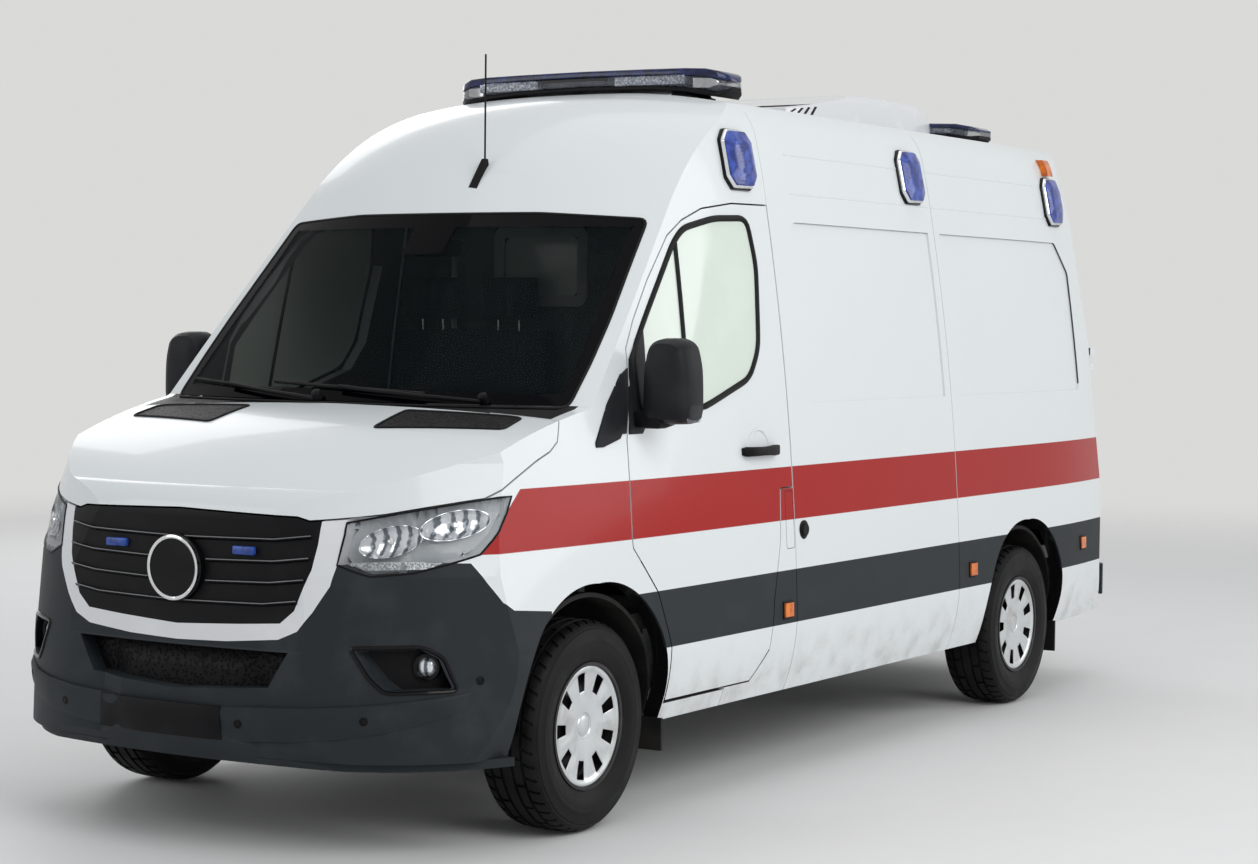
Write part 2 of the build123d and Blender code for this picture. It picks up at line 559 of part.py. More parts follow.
# ---- chassis: rails, cross-members, front suspension arms ----
RAIL_FRONT = 300.0
RAIL_REAR = 5740.0
CROSS = [360, 1250, 2300, 3300, 4100, 5300]    # distances of the cross-members
ARM_HALF = 45.0
ARM_THICK = 29.7
BEAM_TOP = 250.0
rail = block(RAIL_IN, RAIL_OUT, RAIL_FRONT, RAIL_REAR, RAIL_BOTTOM, FLOOR_BOTTOM)
arms = block(RAIL_IN, 800, FRONT_AXLE - ARM_HALF, FRONT_AXLE + ARM_HALF, ARM_LOW, ARM_LOW + ARM_THICK)
arms = arms + block(RAIL_OUT - 5, 800, FRONT_AXLE - ARM_HALF, FRONT_AXLE + ARM_HALF, ARM_HIGH,
                    ARM_HIGH + ARM_THICK)
leg = block(RAIL_IN, RAIL_OUT, FRONT_AXLE - 70, FRONT_AXLE + 70, ARM_LOW, RAIL_BOTTOM)
side_frame = rail + arms + leg
chassis = side_frame + other_side(side_frame)
for distance in CROSS:
    chassis = chassis + block(-RAIL_IN - 1, RAIL_IN + 1, distance - 35, distance + 35,
                              RAIL_BOTTOM + 60, FLOOR_BOTTOM)
chassis = chassis + block(-RAIL_IN - 1, RAIL_IN + 1, FRONT_AXLE - 60, FRONT_AXLE + 60, ARM_LOW, BEAM_TOP)
for height in (500, 580):
    bolt_hole = Pos(RAIL_MID, at(RAIL_REAR - 30), height) * Rot(90, 0, 0) * Cylinder(6.5, 60)
    chassis = chassis - bolt_hole - other_side(bolt_hole)
crash_beam = block(-560, 560, 190, RAIL_FRONT, RAIL_BOTTOM, FLOOR_BOTTOM) & INNER
chassis = chassis + crash_beam
engine = block(-280, 280, 420, 985, 270, 1000) + block(-RAIL_IN, RAIL_IN, 600, 680, 470, 560)
engine = engine + block(-150, 150, 985, 1850, 300, 500)

# ---- rear axle with springs and drive shaft ----
AXLE_TUBE = 50.0
HUB = 75.0
HUB_FACE = WHEEL_MID - 25 - FIT      # outboard end of the hubs
SPRING_X = (RAIL_OUT, RAIL_OUT + 70)
axle_line = Pos(0, at(REAR_AXLE), TYRE_RADIUS) * Rot(0, 90, 0)
rear_axle = axle_line * Cylinder(AXLE_TUBE, 2 * HUB_FACE) + axle_line * Cylinder(150, 260)
SPRING_HALF = 640.0
SPRING_THICK = 28.0
SPRING_EYE = 520.0
spring = side_prism([
    (REAR_AXLE - SPRING_HALF, SPRING_EYE), (REAR_AXLE - 150, TYRE_RADIUS + AXLE_TUBE + 4),
    (REAR_AXLE + 150, TYRE_RADIUS + AXLE_TUBE + 4), (REAR_AXLE + SPRING_HALF, SPRING_EYE),
    (REAR_AXLE + SPRING_HALF, SPRING_EYE + SPRING_THICK),
    (REAR_AXLE + 150, TYRE_RADIUS + AXLE_TUBE + 4 + SPRING_THICK),
    (REAR_AXLE - 150, TYRE_RADIUS + AXLE_TUBE + 4 + SPRING_THICK),
    (REAR_AXLE - SPRING_HALF, SPRING_EYE + SPRING_THICK)], *SPRING_X)
pad = block(*SPRING_X, REAR_AXLE - 60, REAR_AXLE + 60, TYRE_RADIUS - 20, TYRE_RADIUS + AXLE_TUBE + 10)
rear_axle = rear_axle + spring + pad + other_side(spring + pad)
for s in (1, -1):
    drum = Pos(s * (HUB_FACE - 30), at(REAR_AXLE), TYRE_RADIUS) * Rot(0, 90, 0) * Cylinder(HUB, 60)
    rear_axle = rear_axle + drum
SHAFT_FRONT = 1850.0 + FIT
shaft_length = REAR_AXLE - SHAFT_FRONT
shaft_slope = math.degrees(math.atan2(TYRE_RADIUS - 400, shaft_length))
shaft = Pos(0, at((SHAFT_FRONT + REAR_AXLE) / 2), (400 + TYRE_RADIUS) / 2) * Rot(
    90 + shaft_slope, 0, 0) * Cylinder(40, shaft_length + 40)
rear_axle = rear_axle + (shaft - block(-200, 200, 0, SHAFT_FRONT, 0, 1000))

# ---- tank and exhaust under the floor ----
TANK = (RAIL_OUT, 850, 2650, 3450, 345, 600)
tank = block(*TANK)
tank = fillet(tank.edges().filter_by(Axis.Y), 40)
MUFFLER_X = -270.0
muffler = Pos(MUFFLER_X, at(3500), 430) * Rot(90, 0, 0) * Cylinder(75, 700)
pipe = Pos(MUFFLER_X, at(2550), 430) * Rot(90, 0, 0) * Cylinder(32, 1300)
hanger = block(-RAIL_IN, MUFFLER_X, 3300, 3340, 470, 500)
exhaust = muffler + pipe + hanger

# ---- mudflaps, hung behind the wheels ----
FLAP_THICK = 12.0
flaps = []
for start, low, x_out in ((FRONT_AXLE + 431, 217, 985), (REAR_AXLE + 427, 190, 965)):
    flap = block(745, x_out, start, start + FLAP_THICK, low, TYRE_RADIUS - 25)
    flaps += [flap, other_side(flap)]

# ---- wheels: tyre, and rim with its trim; steered knuckles ----
TYRE_SECTION = [   # radius, and distance from the tyre's middle plane
    (BEAD_RADIUS, 85), (BEAD_RADIUS + 30, 106), (BEAD_RADIUS + 72, TYRE_WIDTH / 2),
    (TYRE_RADIUS - 30, 113), (TYRE_RADIUS - 5, 92), (TYRE_RADIUS, 60)]
RIM_SECTION = [   # radius, x from the middle plane, outboard positive: barrel and disc
    (BEAD_RADIUS, 100), (BEAD_RADIUS + 12, 104), (BEAD_RADIUS + 12, 96), (BEAD_RADIUS - 0.3, 86),
    (BEAD_RADIUS - 0.3, -86), (BEAD_RADIUS + 10, -100), (BEAD_RADIUS + 10, -106),
    (BEAD_RADIUS - 12, -106), (BEAD_RADIUS - 14, 20), (120, 40), (70, 40), (70, -25), (0, -25),
    (0, 70), (60, 70), (62, 84), (95, 86), (BEAD_RADIUS - 20, 92)]
TRIM_HOLE = (118, 186, 26, 44)       # inner and outer radius, inner and outer width


def ring(points):
    """Solid turned about the wheel's own axis, which is X."""
    with BuildSketch(Plane.XY) as sketch:
        with BuildLine():
            Polyline(*[(x, r) for r, x in points], close=True)
        make_face()
    return revolve(sketch.sketch, axis=Axis.X)


tyre = ring(TYRE_SECTION + [(r, -x) for r, x in reversed(TYRE_SECTION)])
rim = ring(RIM_SECTION)
r_in, r_out, w_in, w_out = TRIM_HOLE
hole = extrude(outline(Plane.YZ, [(r_in, -w_in / 2), (r_out, -w_out / 2), (r_out, w_out / 2),
                                  (r_in, w_in / 2)]), amount=150)
for k in range(SPOKES):
    rim = rim - Rot(360 / SPOKES * k, 0, 0) * hole
PIN_LOW = ARM_LOW + ARM_THICK + FIT
PIN_HIGH = ARM_HIGH - FIT
knuckle = Pos(KINGPIN, at(FRONT_AXLE), (PIN_LOW + PIN_HIGH) / 2) * Cylinder(34, PIN_HIGH - PIN_LOW)
spindle = Pos((KINGPIN + HUB_FACE) / 2, at(FRONT_AXLE), TYRE_RADIUS) * Rot(0, 90, 0) * Cylinder(
    42, HUB_FACE - KINGPIN)
knuckle = knuckle + spindle

# ---- cab interior ----
DASH = [(FIREWALL[1], 960), (1330, 950), (1470, 1080), (1480, 1190), (1380, 1290), (1230, 1322),
        (FIREWALL[1], 1318)]
dashboard = side_prism(DASH, -860, 860)
WHEEL_CENTRE = (420.0, 1640.0, 1235.0)     # steering wheel: x, distance, height
COLUMN_TILT = 35.0                         # column above the horizontal
tilt = Pos(WHEEL_CENTRE[0], at(WHEEL_CENTRE[1]), WHEEL_CENTRE[2]) * Rot(COLUMN_TILT - 90, 0, 0)
STEER_RADIUS = 195.0
steering_wheel = Torus(STEER_RADIUS, 15) + Pos(0, 0, -22) * Cylinder(50, 40)
for angle in (0, 180, 270):
    steering_wheel = steering_wheel + Rot(0, 0, angle) * Pos(STEER_RADIUS / 2, 0, -12) * Box(
        STEER_RADIUS - 10, 34, 14)
steering_wheel = tilt * steering_wheel
column = tilt * (Pos(0, 0, -42 - FIT - 120) * Cylinder(32, 240))
dashboard = dashboard + column
SEAT_FRONT = 1830.0
SEAT_TOP = 1080.0
SEAT_SIDE = [(SEAT_FRONT, SEAT_TOP - 110), (SEAT_FRONT + 20, SEAT_TOP), (2210, SEAT_TOP - 20),
             (2290, 1690), (2390, 1680), (2330, SEAT_TOP - 60), (2300, SEAT_TOP - 110)]
BASE_SIDE = [(1900, FLOOR_TOP), (1880, SEAT_TOP - 110), (2290, SEAT_TOP - 110), (2270, FLOOR_TOP)]
HEAD_SIDE = [(2290, 1690), (2300, 1880), (2390, 1880), (2390, 1680)]
seats = []
for x_mid, half in ((420, 250), (-455, 375)):
    seat = side_prism(SEAT_SIDE, x_mid - half, x_mid + half)
    seat = seat + side_prism(BASE_SIDE, x_mid - half + 40, x_mid + half - 40)
    count = 1 if half < 300 else 2
    for k in range(count):
        centre = x_mid + (k - (count - 1) / 2) * half
        seat = seat + side_prism(HEAD_SIDE, centre - 130, centre + 130)
    seats.append(seat)

# ---- roof equipment ----
BAR = (2450.0, 2700.0)                      # front and rear of the front bar
BAR_SECTION = both_sides([(0, 2612), (300, 2606), (480, 2590), (590, 2568), (628, 2600), (628, 2644),
                          (520, 2686), (1, 2690)])
bar = front_prism(BAR_SECTION, *BAR)
for s in (1, -1):
    foot = block(s * 430 - 70, s * 430 + 70, BAR[0] + 60, BAR[1] - 40, 2500, 2605) - OUTER
    bar = bar + foot
REAR_BAR = (4960.0, 5200.0)                 # front and rear of the rear bar
REAR_BAR_SECTION = both_sides([(0, 2500), (555, 2500), (562, 2560), (590, 2592), (584, 2616),
                               (480, 2642), (1, 2654)])
rear_bar = front_prism(REAR_BAR_SECTION, *REAR_BAR)
rear_bar = rear_bar - OUTER
UNIT = [(3366, 2560), (3372, 2603), (3630, 2634), (3973, 2698), (4081, 2708), (4471, 2712),
        (4730, 2703), (4842, 2669), (4889, 2608), (4900, 2560)]
unit = side_prism(UNIT, -430, 430)
unit = unit - OUTER
MAST = (70.0, 1625.0, 1667.0)               # antenna: x, distance of its base and of its rod
mast_base = loft([Pos(MAST[0], at(MAST[1] + 5), 2170) * Rectangle(44, 110).faces()[0],
                  Pos(MAST[0], at(MAST[2]), 2300) * Rectangle(14, 22).faces()[0]]) - OUTER
mast = Pos(MAST[0], at(MAST[2]), 2490) * Cylinder(3.5, 390)
antenna = mast_base + mast
BEACONS = [(2215, 2308), (3715, 2317), (5310, 2281)]    # distance, height
BEACON = (230.0, 235.0, 26.0)                           # length, height, depth
beacons = []
for distance, height in BEACONS:
    lamp = block(780, REACH, distance - BEACON[0] / 2, distance + BEACON[0] / 2,
                 height - BEACON[1] / 2, height + BEACON[1] / 2)
    lamp = chamfer(lamp.edges().filter_by(Axis.X), 45)
    lamp = (lamp & (Pos(BEACON[2], 0, 0) * OUTER)) - OUTER
    beacons += [lamp, other_side(lamp)]
MARKERS = [(2325, 632), (4040, 655), (5374, 680)]
markers = []
for distance, height in MARKERS:
    lamp = block(900, REACH, distance - 32, distance + 32, height - 26, height + 26)
    lamp = (lamp & (Pos(9, 0, 0) * OUTER)) - OUTER
    markers += [lamp, other_side(lamp)]
top_marker = block(720, REACH, 5272, 5348, 2405, 2480) & (Pos(28, 0, 12) * OUTER)
top_marker = top_marker - OUTER
markers += [top_marker, other_side(top_marker)]

# ---- write every sub-part ----
save("cab_frame", cab_frame)
save("roof_panel", roof_panel)
save("side_panel_left", side_panel_left)
save("sliding_door", sliding_door)
save("rear_body", rear_body)
save("front_fenders", fender, other_side(fender))
save("cowl_panel", cowl_panel)
save("windscreen", windscreen)
save("front_bumper", front_bumper)
save("grille_frame", grille_frame)
save("grille", grille)
save("lower_grille", lower_grille)
save("headlamps", headlamp, other_side(headlamp))
save("fog_lamps", fog_lamp, other_side(fog_lamp))
save("rub_strips", fixed_strips)
save("rear_bumper", rear_bumper)
save("tail_lamps", tail_lamp, other_side(tail_lamp))
save("sills", sill, other_side(sill))
save("floor_pan", floor_pan)
save("bulkhead", bulkhead)
save("wheel_arch_liners", *liners)
save("chassis_frame", chassis)
save("engine", engine)
save("rear_axle", rear_axle)
save("fuel_tank", tank)
save("exhaust", exhaust)
save("mudflaps", *flaps)
save("dashboard", dashboard)
save("seats", *seats)
save("light_bars", bar, rear_bar)
save("air_conditioner", unit)
save("antenna", antenna)
save("side_beacons", *beacons)
save("marker_lamps", *markers)
save("bonnet", bonnet)
save("steering_wheel", steering_wheel)
for side, place in (("left", lambda s: s), ("right", other_side)):
    save(f"front_door_{side}", place(door))
    save(f"front_door_glass_{side}", place(door_glass))
    save(f"front_door_strip_{side}", place(door_strip))
    save(f"mirror_{side}", place(mirror_left))
    save(f"rear_door_{side}", place(rear_door))
    save(f"rear_door_glass_{side}", place(rear_glass))
    save(f"knuckle_{side}", place(knuckle))
    for end, axle in (("front", FRONT_AXLE), ("rear", REAR_AXLE)):
        wheel_place = Pos(WHEEL_MID, at(axle), TYRE_RADIUS)
        save(f"tyre_{end}_{side}", place(wheel_place * tyre))
        save(f"wheel_{end}_{side}", place(wheel_place * rim))
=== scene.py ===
"""Emergency ambulance on a long, high-roofed panel van, in metres.

+X is the vehicle's left, the front faces -Y and +Z is up. A distance is measured backwards
from the foremost point of the front bumper.
"""
import math

import bpy
from mathutils import Matrix, Vector
from mathutils.bvhtree import BVHTree


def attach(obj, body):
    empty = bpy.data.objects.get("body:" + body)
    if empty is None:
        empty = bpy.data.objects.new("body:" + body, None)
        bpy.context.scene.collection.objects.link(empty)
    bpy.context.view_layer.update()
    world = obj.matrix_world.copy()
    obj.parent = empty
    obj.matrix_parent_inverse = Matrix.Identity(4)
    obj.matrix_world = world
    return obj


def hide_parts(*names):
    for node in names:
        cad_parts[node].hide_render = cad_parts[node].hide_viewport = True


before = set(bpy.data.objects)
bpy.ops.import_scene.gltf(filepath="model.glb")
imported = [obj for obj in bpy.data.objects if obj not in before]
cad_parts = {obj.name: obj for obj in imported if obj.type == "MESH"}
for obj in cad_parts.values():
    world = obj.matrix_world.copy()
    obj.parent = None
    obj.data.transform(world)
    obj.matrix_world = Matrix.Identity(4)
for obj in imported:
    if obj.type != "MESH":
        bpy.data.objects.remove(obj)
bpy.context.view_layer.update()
bpy.ops.object.select_all(action="DESELECT")

NOSE = 2.966               # how far the foremost point of the bumper is ahead of the origin
FRONT_AXLE, REAR_AXLE = 1.004, 4.669       # distances of the wheels' middles
TRACK_HALF = 0.855         # from the middle plane to the middle of a tyre
TYRE_RADIUS = 0.3555
SIDES = ((1, "left"), (-1, "right"))       # sign of X, and how names say it


def at(x, distance, height):
    return Vector((x, distance - NOSE, height))


# ---- Studio: camera, lamps, floor ----
# A pale floor that fades into a pale surround, one large soft lamp high on the vehicle's front
# left and weaker ones round it, as for a catalogue picture.
def pointed(obj, place, forward, turn=0.0):
    """Places a camera or lamp, looking along a direction, turned about it."""
    forward = Vector(forward).normalized()
    right = forward.cross(Vector((0, 0, 1))).normalized()
    up = right.cross(forward)
    tilted_right = right * math.cos(turn) + up * math.sin(turn)
    tilted_up = up * math.cos(turn) - right * math.sin(turn)
    axes = Matrix((tilted_right, tilted_up, -forward)).transposed()
    obj.matrix_world = Matrix.Translation(place) @ axes.to_4x4()


camera_data = bpy.data.cameras.new("camera")
camera_data.sensor_width = 36
camera_data.lens = 75.15
camera_data.shift_x = 0.0465
camera_data.shift_y = 0.005
camera = bpy.data.objects.new("camera", camera_data)
bpy.context.scene.collection.objects.link(camera)
bpy.context.scene.camera = camera
yaw, pitch, roll = math.radians(32.25), math.radians(2.62), math.radians(0.57)
pointed(camera, (5.546, -9.366, 1.715),
        (-math.sin(yaw) * math.cos(pitch), math.cos(yaw) * math.cos(pitch), -math.sin(pitch)),
        roll)

LAMPS = [  # name, place, size across, watts
    ("key", (8.5, -4.5, 6.0), 6.0, 400),
    ("front_fill", (-6.0, -9.0, 4.5), 5.0, 150),
    ("overhead", (0.0, 0.5, 9.0), 8.0, 130),
    ("rear_left", (8.5, 6.5, 4.0), 5.0, 200),
    ("rear_right", (-8.0, 6.0, 5.0), 5.0, 130),
]
for name, place, size, watts in LAMPS:
    lamp_data = bpy.data.lights.new(name, "AREA")
    lamp_data.size = size
    lamp_data.energy = watts
    lamp = bpy.data.objects.new(name, lamp_data)
    bpy.context.scene.collection.objects.link(lamp)
    pointed(lamp, place, Vector((0, 0, 1.0)) - Vector(place))


class Wire:
    """An output socket of a node tree; arithmetic on it adds Math nodes."""

    def __init__(self, tree, socket):
        self.tree = tree
        self.socket = socket

    def node(self, kind, settings=None, sockets=None, output=0):
        """Adds a node: its settings are set first, then its sockets' values or links."""
        made = self.tree.nodes.new("ShaderNode" + kind)
        for key, value in (settings or {}).items():
            if key == "stops":
                ramp = made.color_ramp.elements
                for place, colour in value[1:-1]:
                    ramp.new(place)
                for stop, (place, colour) in zip(ramp, value):
                    stop.position = place
                    stop.color = (*colour, 1)
            else:
                setattr(made, key, value)
        for key, value in (sockets or {}).items():
            feed(self.tree, made.inputs[key], value)
        return Wire(self.tree, made.outputs[output])

    def sibling(self, name):
        return Wire(self.tree, self.socket.node.outputs[name])

    def maths(self, operation, first, second):
        return self.node("Math", {"operation": operation}, {0: first, 1: second})

    def __add__(self, other):
        return self.maths("ADD", self, other)

    __radd__ = __add__

    def __sub__(self, other):
        return self.maths("SUBTRACT", self, other)

    def __rsub__(self, other):
        return self.maths("SUBTRACT", other, self)

    def __mul__(self, other):
        return self.maths("MULTIPLY", self, other)

    __rmul__ = __mul__

    def __gt__(self, other):
        return self.maths("GREATER_THAN", self, other)

    def __lt__(self, other):
        return self.maths("LESS_THAN", self, other)

    def __abs__(self):
        return self.maths("ABSOLUTE", self, 0.0)


def feed(tree, target, value):
    """Links a wire to a socket, or sets the socket's own value."""
    if isinstance(value, Wire):
        tree.links.new(value.socket, target)
    elif target.type == "RGBA":
        target.default_value = (*value, 1)
    else:
        target.default_value = value


def mixed(mask, first, second):
    """Colour that goes from first to second as the mask rises to 1."""
    return mask.node("Mix", {"data_type": "RGBA"}, {0: mask, 6: first, 7: second}, 2)


def rise(wire, low, high):
    """0 below low, 1 above high, smooth between them."""
    return wire.node("MapRange", {"interpolation_type": "SMOOTHSTEP"},
                     {"Value": wire, "From Min": low, "From Max": high})


def speckle(place, scale, detail=3.0):
    return place.node("TexNoise", {}, {"Vector": place, "Scale": scale, "Detail": detail})


def finish(name, make):
    """A material: make gets the Object coordinates and returns its shader's sockets."""
    material = bpy.data.materials.new(name)
    material.use_nodes = True
    tree = material.node_tree
    shader = tree.nodes["Principled BSDF"]
    place = Wire(tree, tree.nodes.new("ShaderNodeTexCoord").outputs["Object"])
    for socket, value in make(place).items():
        feed(tree, shader.inputs[socket], value)
    return material


def studio_floor(place):
    grain = speckle(place, 3.0)
    return {"Base Color": mixed(grain, (0.83, 0.83, 0.82), (0.86, 0.86, 0.85)),
            "Roughness": 0.62,
            "Alpha": 1 - rise(place.node("VectorMath", {"operation": "LENGTH"},
                                         {0: place}, "Value"), 6.0, 16.0)}


bpy.ops.mesh.primitive_circle_add(vertices=96, radius=18, fill_type="NGON",
                                  location=(0, 0, -0.002))
floor = bpy.context.object
floor.name = "studio_floor"
floor.data.materials.append(finish("studio_floor", studio_floor))
bpy.ops.object.select_all(action="DESELECT")

world = bpy.data.worlds.new("surround")
world.use_nodes = True
bpy.context.scene.world = world
tree = world.node_tree
rays = Wire(tree, tree.nodes.new("ShaderNodeLightPath").outputs["Is Camera Ray"])
seen = rays.maths("MAXIMUM", rays.maths("MAXIMUM", rays, rays.sibling("Is Glossy Ray")),
                  rays.sibling("Is Transmission Ray"))
background = tree.nodes["Background"]
feed(tree, background.inputs["Color"], mixed(seen, (0.42, 0.43, 0.45), (0.70, 0.70, 0.69)))
bpy.context.scene.view_settings.view_transform = "Standard"


# ---- Frame, axle, engine and what hangs under the floor ----
# Welded channel rails with a waxed black finish, cast running gear, a moulded tank and a
# drawn steel exhaust, all dulled by road film. They bolt or clamp to the rails.
def dressed(material, *nodes):
    """Gives CAD nodes that are shown as they are their material."""
    for node in nodes:
        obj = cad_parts[node]
        if not obj.material_slots:
            obj.data.materials.append(material)
        for slot in obj.material_slots:
            slot.material = material


def coarse(base, film, scale, rough, metallic=0.0):
    """Maker of a dull finish with road film in patches and a fine uneven skin."""
    def make(place):
        patches = rise(speckle(place, scale, 5.0), 0.42, 0.66)
        grit = speckle(place, scale * 30, 2.0)
        bump = place.node("Bump", {}, {"Strength": 0.5, "Distance": 0.0006, "Height": grit})
        return {"Base Color": mixed(patches, base, film),
                "Roughness": rough + patches * 0.2 + grit * 0.08, "Specular IOR Level": 0.2,
                "Metallic": metallic, "Normal": bump}
    return make


chassis_black = finish("chassis_black", coarse((0.022, 0.022, 0.023), (0.06, 0.055, 0.048),
                                               6.0, 0.5))
cast_steel = finish("cast_steel", coarse((0.10, 0.10, 0.10), (0.075, 0.06, 0.048), 9.0, 0.48,
                                         0.75))
exhaust_steel = finish("exhaust_steel", coarse((0.30, 0.28, 0.26), (0.16, 0.11, 0.08), 7.0,
                                               0.38, 0.85))
moulded_black = finish("moulded_black", coarse((0.008, 0.008, 0.009), (0.020, 0.019, 0.017),
                                               8.0, 0.55))
dressed(chassis_black, "chassis_frame")
dressed(cast_steel, "engine", "rear_axle", "knuckle_left", "knuckle_right")
dressed(exhaust_steel, "exhaust")
dressed(moulded_black, "fuel_tank", "wheel_arch_liners", "mudflaps")


# ---- Body shell, doors and bonnet ----
# Pressed steel panels, welded and lapped, sprayed gloss white with one red band along each
# side. The doors and the bonnet are the same steel, and grey felt lines the walls inside.
BAND_LOW, BAND_HIGH = 0.967, 1.166
EDGE = 0.0015              # half the width over which the red gives way to white
BAND_START = 0.39          # distance where the band's lower edge begins
BAND_SLANT = 1.164         # how far back its front end leans, per metre of height
LINING_AXIS = 0.9          # height of the line that inner faces look towards
LINING_ENDS = -1.5, 2.2    # Y of its two ends


def axes(place):
    x = place.node("SeparateXYZ", {}, {"Vector": place})
    return x, x.sibling("Y"), x.sibling("Z")


def within(wire, low, high):
    """1 between low and high, with an edge of EDGE either side of them."""
    return rise(wire, low - EDGE, low + EDGE) * (1 - rise(wire, high - EDGE, high + EDGE))


def lined(place):
    """1 on faces that look towards the vehicle's middle, 0 on outer faces."""
    x, y, z = axes(place)
    normal = place.sibling("Normal")
    nearest = y.maths("MAXIMUM", y.maths("MINIMUM", y, LINING_ENDS[1]), LINING_ENDS[0])
    out = place.node("CombineXYZ", {}, {"X": x, "Y": y - nearest, "Z": z - LINING_AXIS})
    look = place.node("VectorMath", {"operation": "DOT_PRODUCT"}, {0: out, 1: normal}, "Value")
    return look < -0.12


def arch_return(place):
    """1 on the faces that turn in round a wheel arch, which are sealed black."""
    x, y, z = axes(place)
    behind = y > 0.3
    axle = behind * (REAR_AXLE - FRONT_AXLE) + (FRONT_AXLE - NOSE)
    out = place.node("CombineXYZ", {}, {"Y": y - axle, "Z": z - TYRE_RADIUS})
    look = place.node("VectorMath", {"operation": "DOT_PRODUCT"},
                      {0: out, 1: place.sibling("Normal")}, "Value")
    reach = place.node("VectorMath", {"operation": "LENGTH"}, {0: out}, "Value")
    return (look < -0.15) * (reach < 0.60) * (abs(x) > 0.7)


def coach_paint(place):
    x, y, z = axes(place)
    slanted = y > (z - BAND_LOW) * BAND_SLANT + (BAND_START - NOSE)
    outside = place.node("SeparateXYZ", {}, {"Vector": place.sibling("Normal")}) * x > 0.25
    on_side = x.maths("MAXIMUM", (abs(x) > 0.78) * outside, y > 2.85)
    band = within(z, BAND_LOW, BAND_HIGH) * slanted * on_side
    inner = lined(place)
    cloud = speckle(place, 1.3, 4.0)
    film = (1 - rise(z, 0.3, 0.62)) * rise(speckle(place, 9.0, 6.0), 0.40, 0.75) * 0.5
    white = mixed(cloud, (0.735, 0.775, 0.780), (0.770, 0.805, 0.810))
    colour = mixed(band, white, mixed(cloud, (0.355, 0.010, 0.009), (0.39, 0.013, 0.011)))
    colour = mixed(film, colour, (0.36, 0.34, 0.31))
    colour = mixed(inner, colour, mixed(speckle(place, 60.0), (0.05, 0.05, 0.052),
                                        (0.085, 0.085, 0.088)))
    colour = mixed(arch_return(place), colour, (0.006, 0.006, 0.0065))
    peel = speckle(place, 420.0, 2.0)
    bump = place.node("Bump", {}, {"Strength": 0.12, "Distance": 0.0003, "Height": peel})
    return {"Base Color": colour,
            "Roughness": 0.20 + film * 0.4 + inner * 0.45 + peel * 0.04,
            "Coat Weight": 0.30 - inner * 0.30 - band * 0.25, "Coat Roughness": 0.04,
            "Specular IOR Level": 0.12, "Normal": bump}


white_coach = finish("white_coach_paint", coach_paint)
dressed(white_coach, "cab_frame", "roof_panel", "side_panel_left", "sliding_door",
        "rear_body", "front_fenders", "sills", "bonnet", "front_door_left",
        "front_door_right", "rear_door_left", "rear_door_right")


# ---- Glass ----
# Laminated windscreen with a black printed border, tempered door glass with a green tint, and
# frosted rear glass. Each pane is bonded into its opening or runs in the door.
def pane(base, clear):
    """Maker of a tinted pane: clear looking straight through, a mirror at a low angle."""
    def make(place):
        rim = place.node("Fresnel", {}, {"IOR": 1.5})
        dust = rise(speckle(place, 5.0, 5.0), 0.5, 0.8)
        return {"Base Color": mixed(dust, base, tuple(c * 1.04 + 0.002 for c in base)),
                "Roughness": 0.03 + dust * 0.05, "Specular IOR Level": 0.4,
                "Alpha": rim * 0.5 + (1 - clear), "IOR": 1.5}
    return make


door_glass = finish("door_glass", pane((0.80, 0.89, 0.80), 0.20))
frosted = finish("frosted_glass", pane((0.26, 0.29, 0.30), 0.10))
dressed(door_glass, "front_door_glass_left", "front_door_glass_right")
dressed(frosted, "rear_door_glass_left", "rear_door_glass_right")


def screen_print(place):
    """Tinted glass with a solid black border, which widens round the sensor at the top."""
    x, _, z = axes(place)
    half = 0.853 - rise(z, 1.42, 2.09) * 0.065
    side = rise(abs(x) - half, -0.046, -0.034)
    lower = 1 - rise(z, 1.452, 1.470)
    upper = rise(z, 2.030, 2.046)
    sensor = rise(z, 1.93, 1.95) * (1 - rise(abs(x), 0.085, 0.10))
    border = side.maths("MAXIMUM", side.maths("MAXIMUM", side, lower),
                        side.maths("MAXIMUM", upper, sensor))
    rim = place.node("Fresnel", {}, {"IOR": 1.5})
    dust = rise(speckle(place, 4.0, 5.0), 0.5, 0.8)
    return {"Base Color": mixed(border, (0.004, 0.008, 0.009), (0.001, 0.001, 0.002)),
            "Roughness": 0.03 + dust * 0.03, "Specular IOR Level": 0.05,
            "Alpha": rim.maths("MAXIMUM", rim * 0.3 + 0.20, border),
            "IOR": 1.5}


dressed(finish("windscreen_glass", screen_print), "windscreen")


# ---- Bumper, rub strips, cowl and other grained plastic ----
# Injection-moulded polypropylene, dark grey right through, with a fine grain on show faces.
# It clips to the steel behind it.
def grained(base, worn, rough=0.46, grain=900.0, depth=0.00025, coat=0.0):
    """Maker of a moulded plastic: fine grain, faint paler scuffs on it."""
    def make(place):
        leather = place.node("TexVoronoi", {}, {"Vector": place, "Scale": grain})
        scuff = rise(speckle(place, 7.0, 6.0), 0.48, 0.74)
        bump = place.node("Bump", {}, {"Strength": 0.35, "Distance": depth, "Height": leather})
        return {"Base Color": mixed(scuff, base, worn),
                "Roughness": rough + scuff * 0.10 + leather * 0.06,
                "Coat Weight": coat, "Specular IOR Level": 0.12, "Normal": bump}
    return make


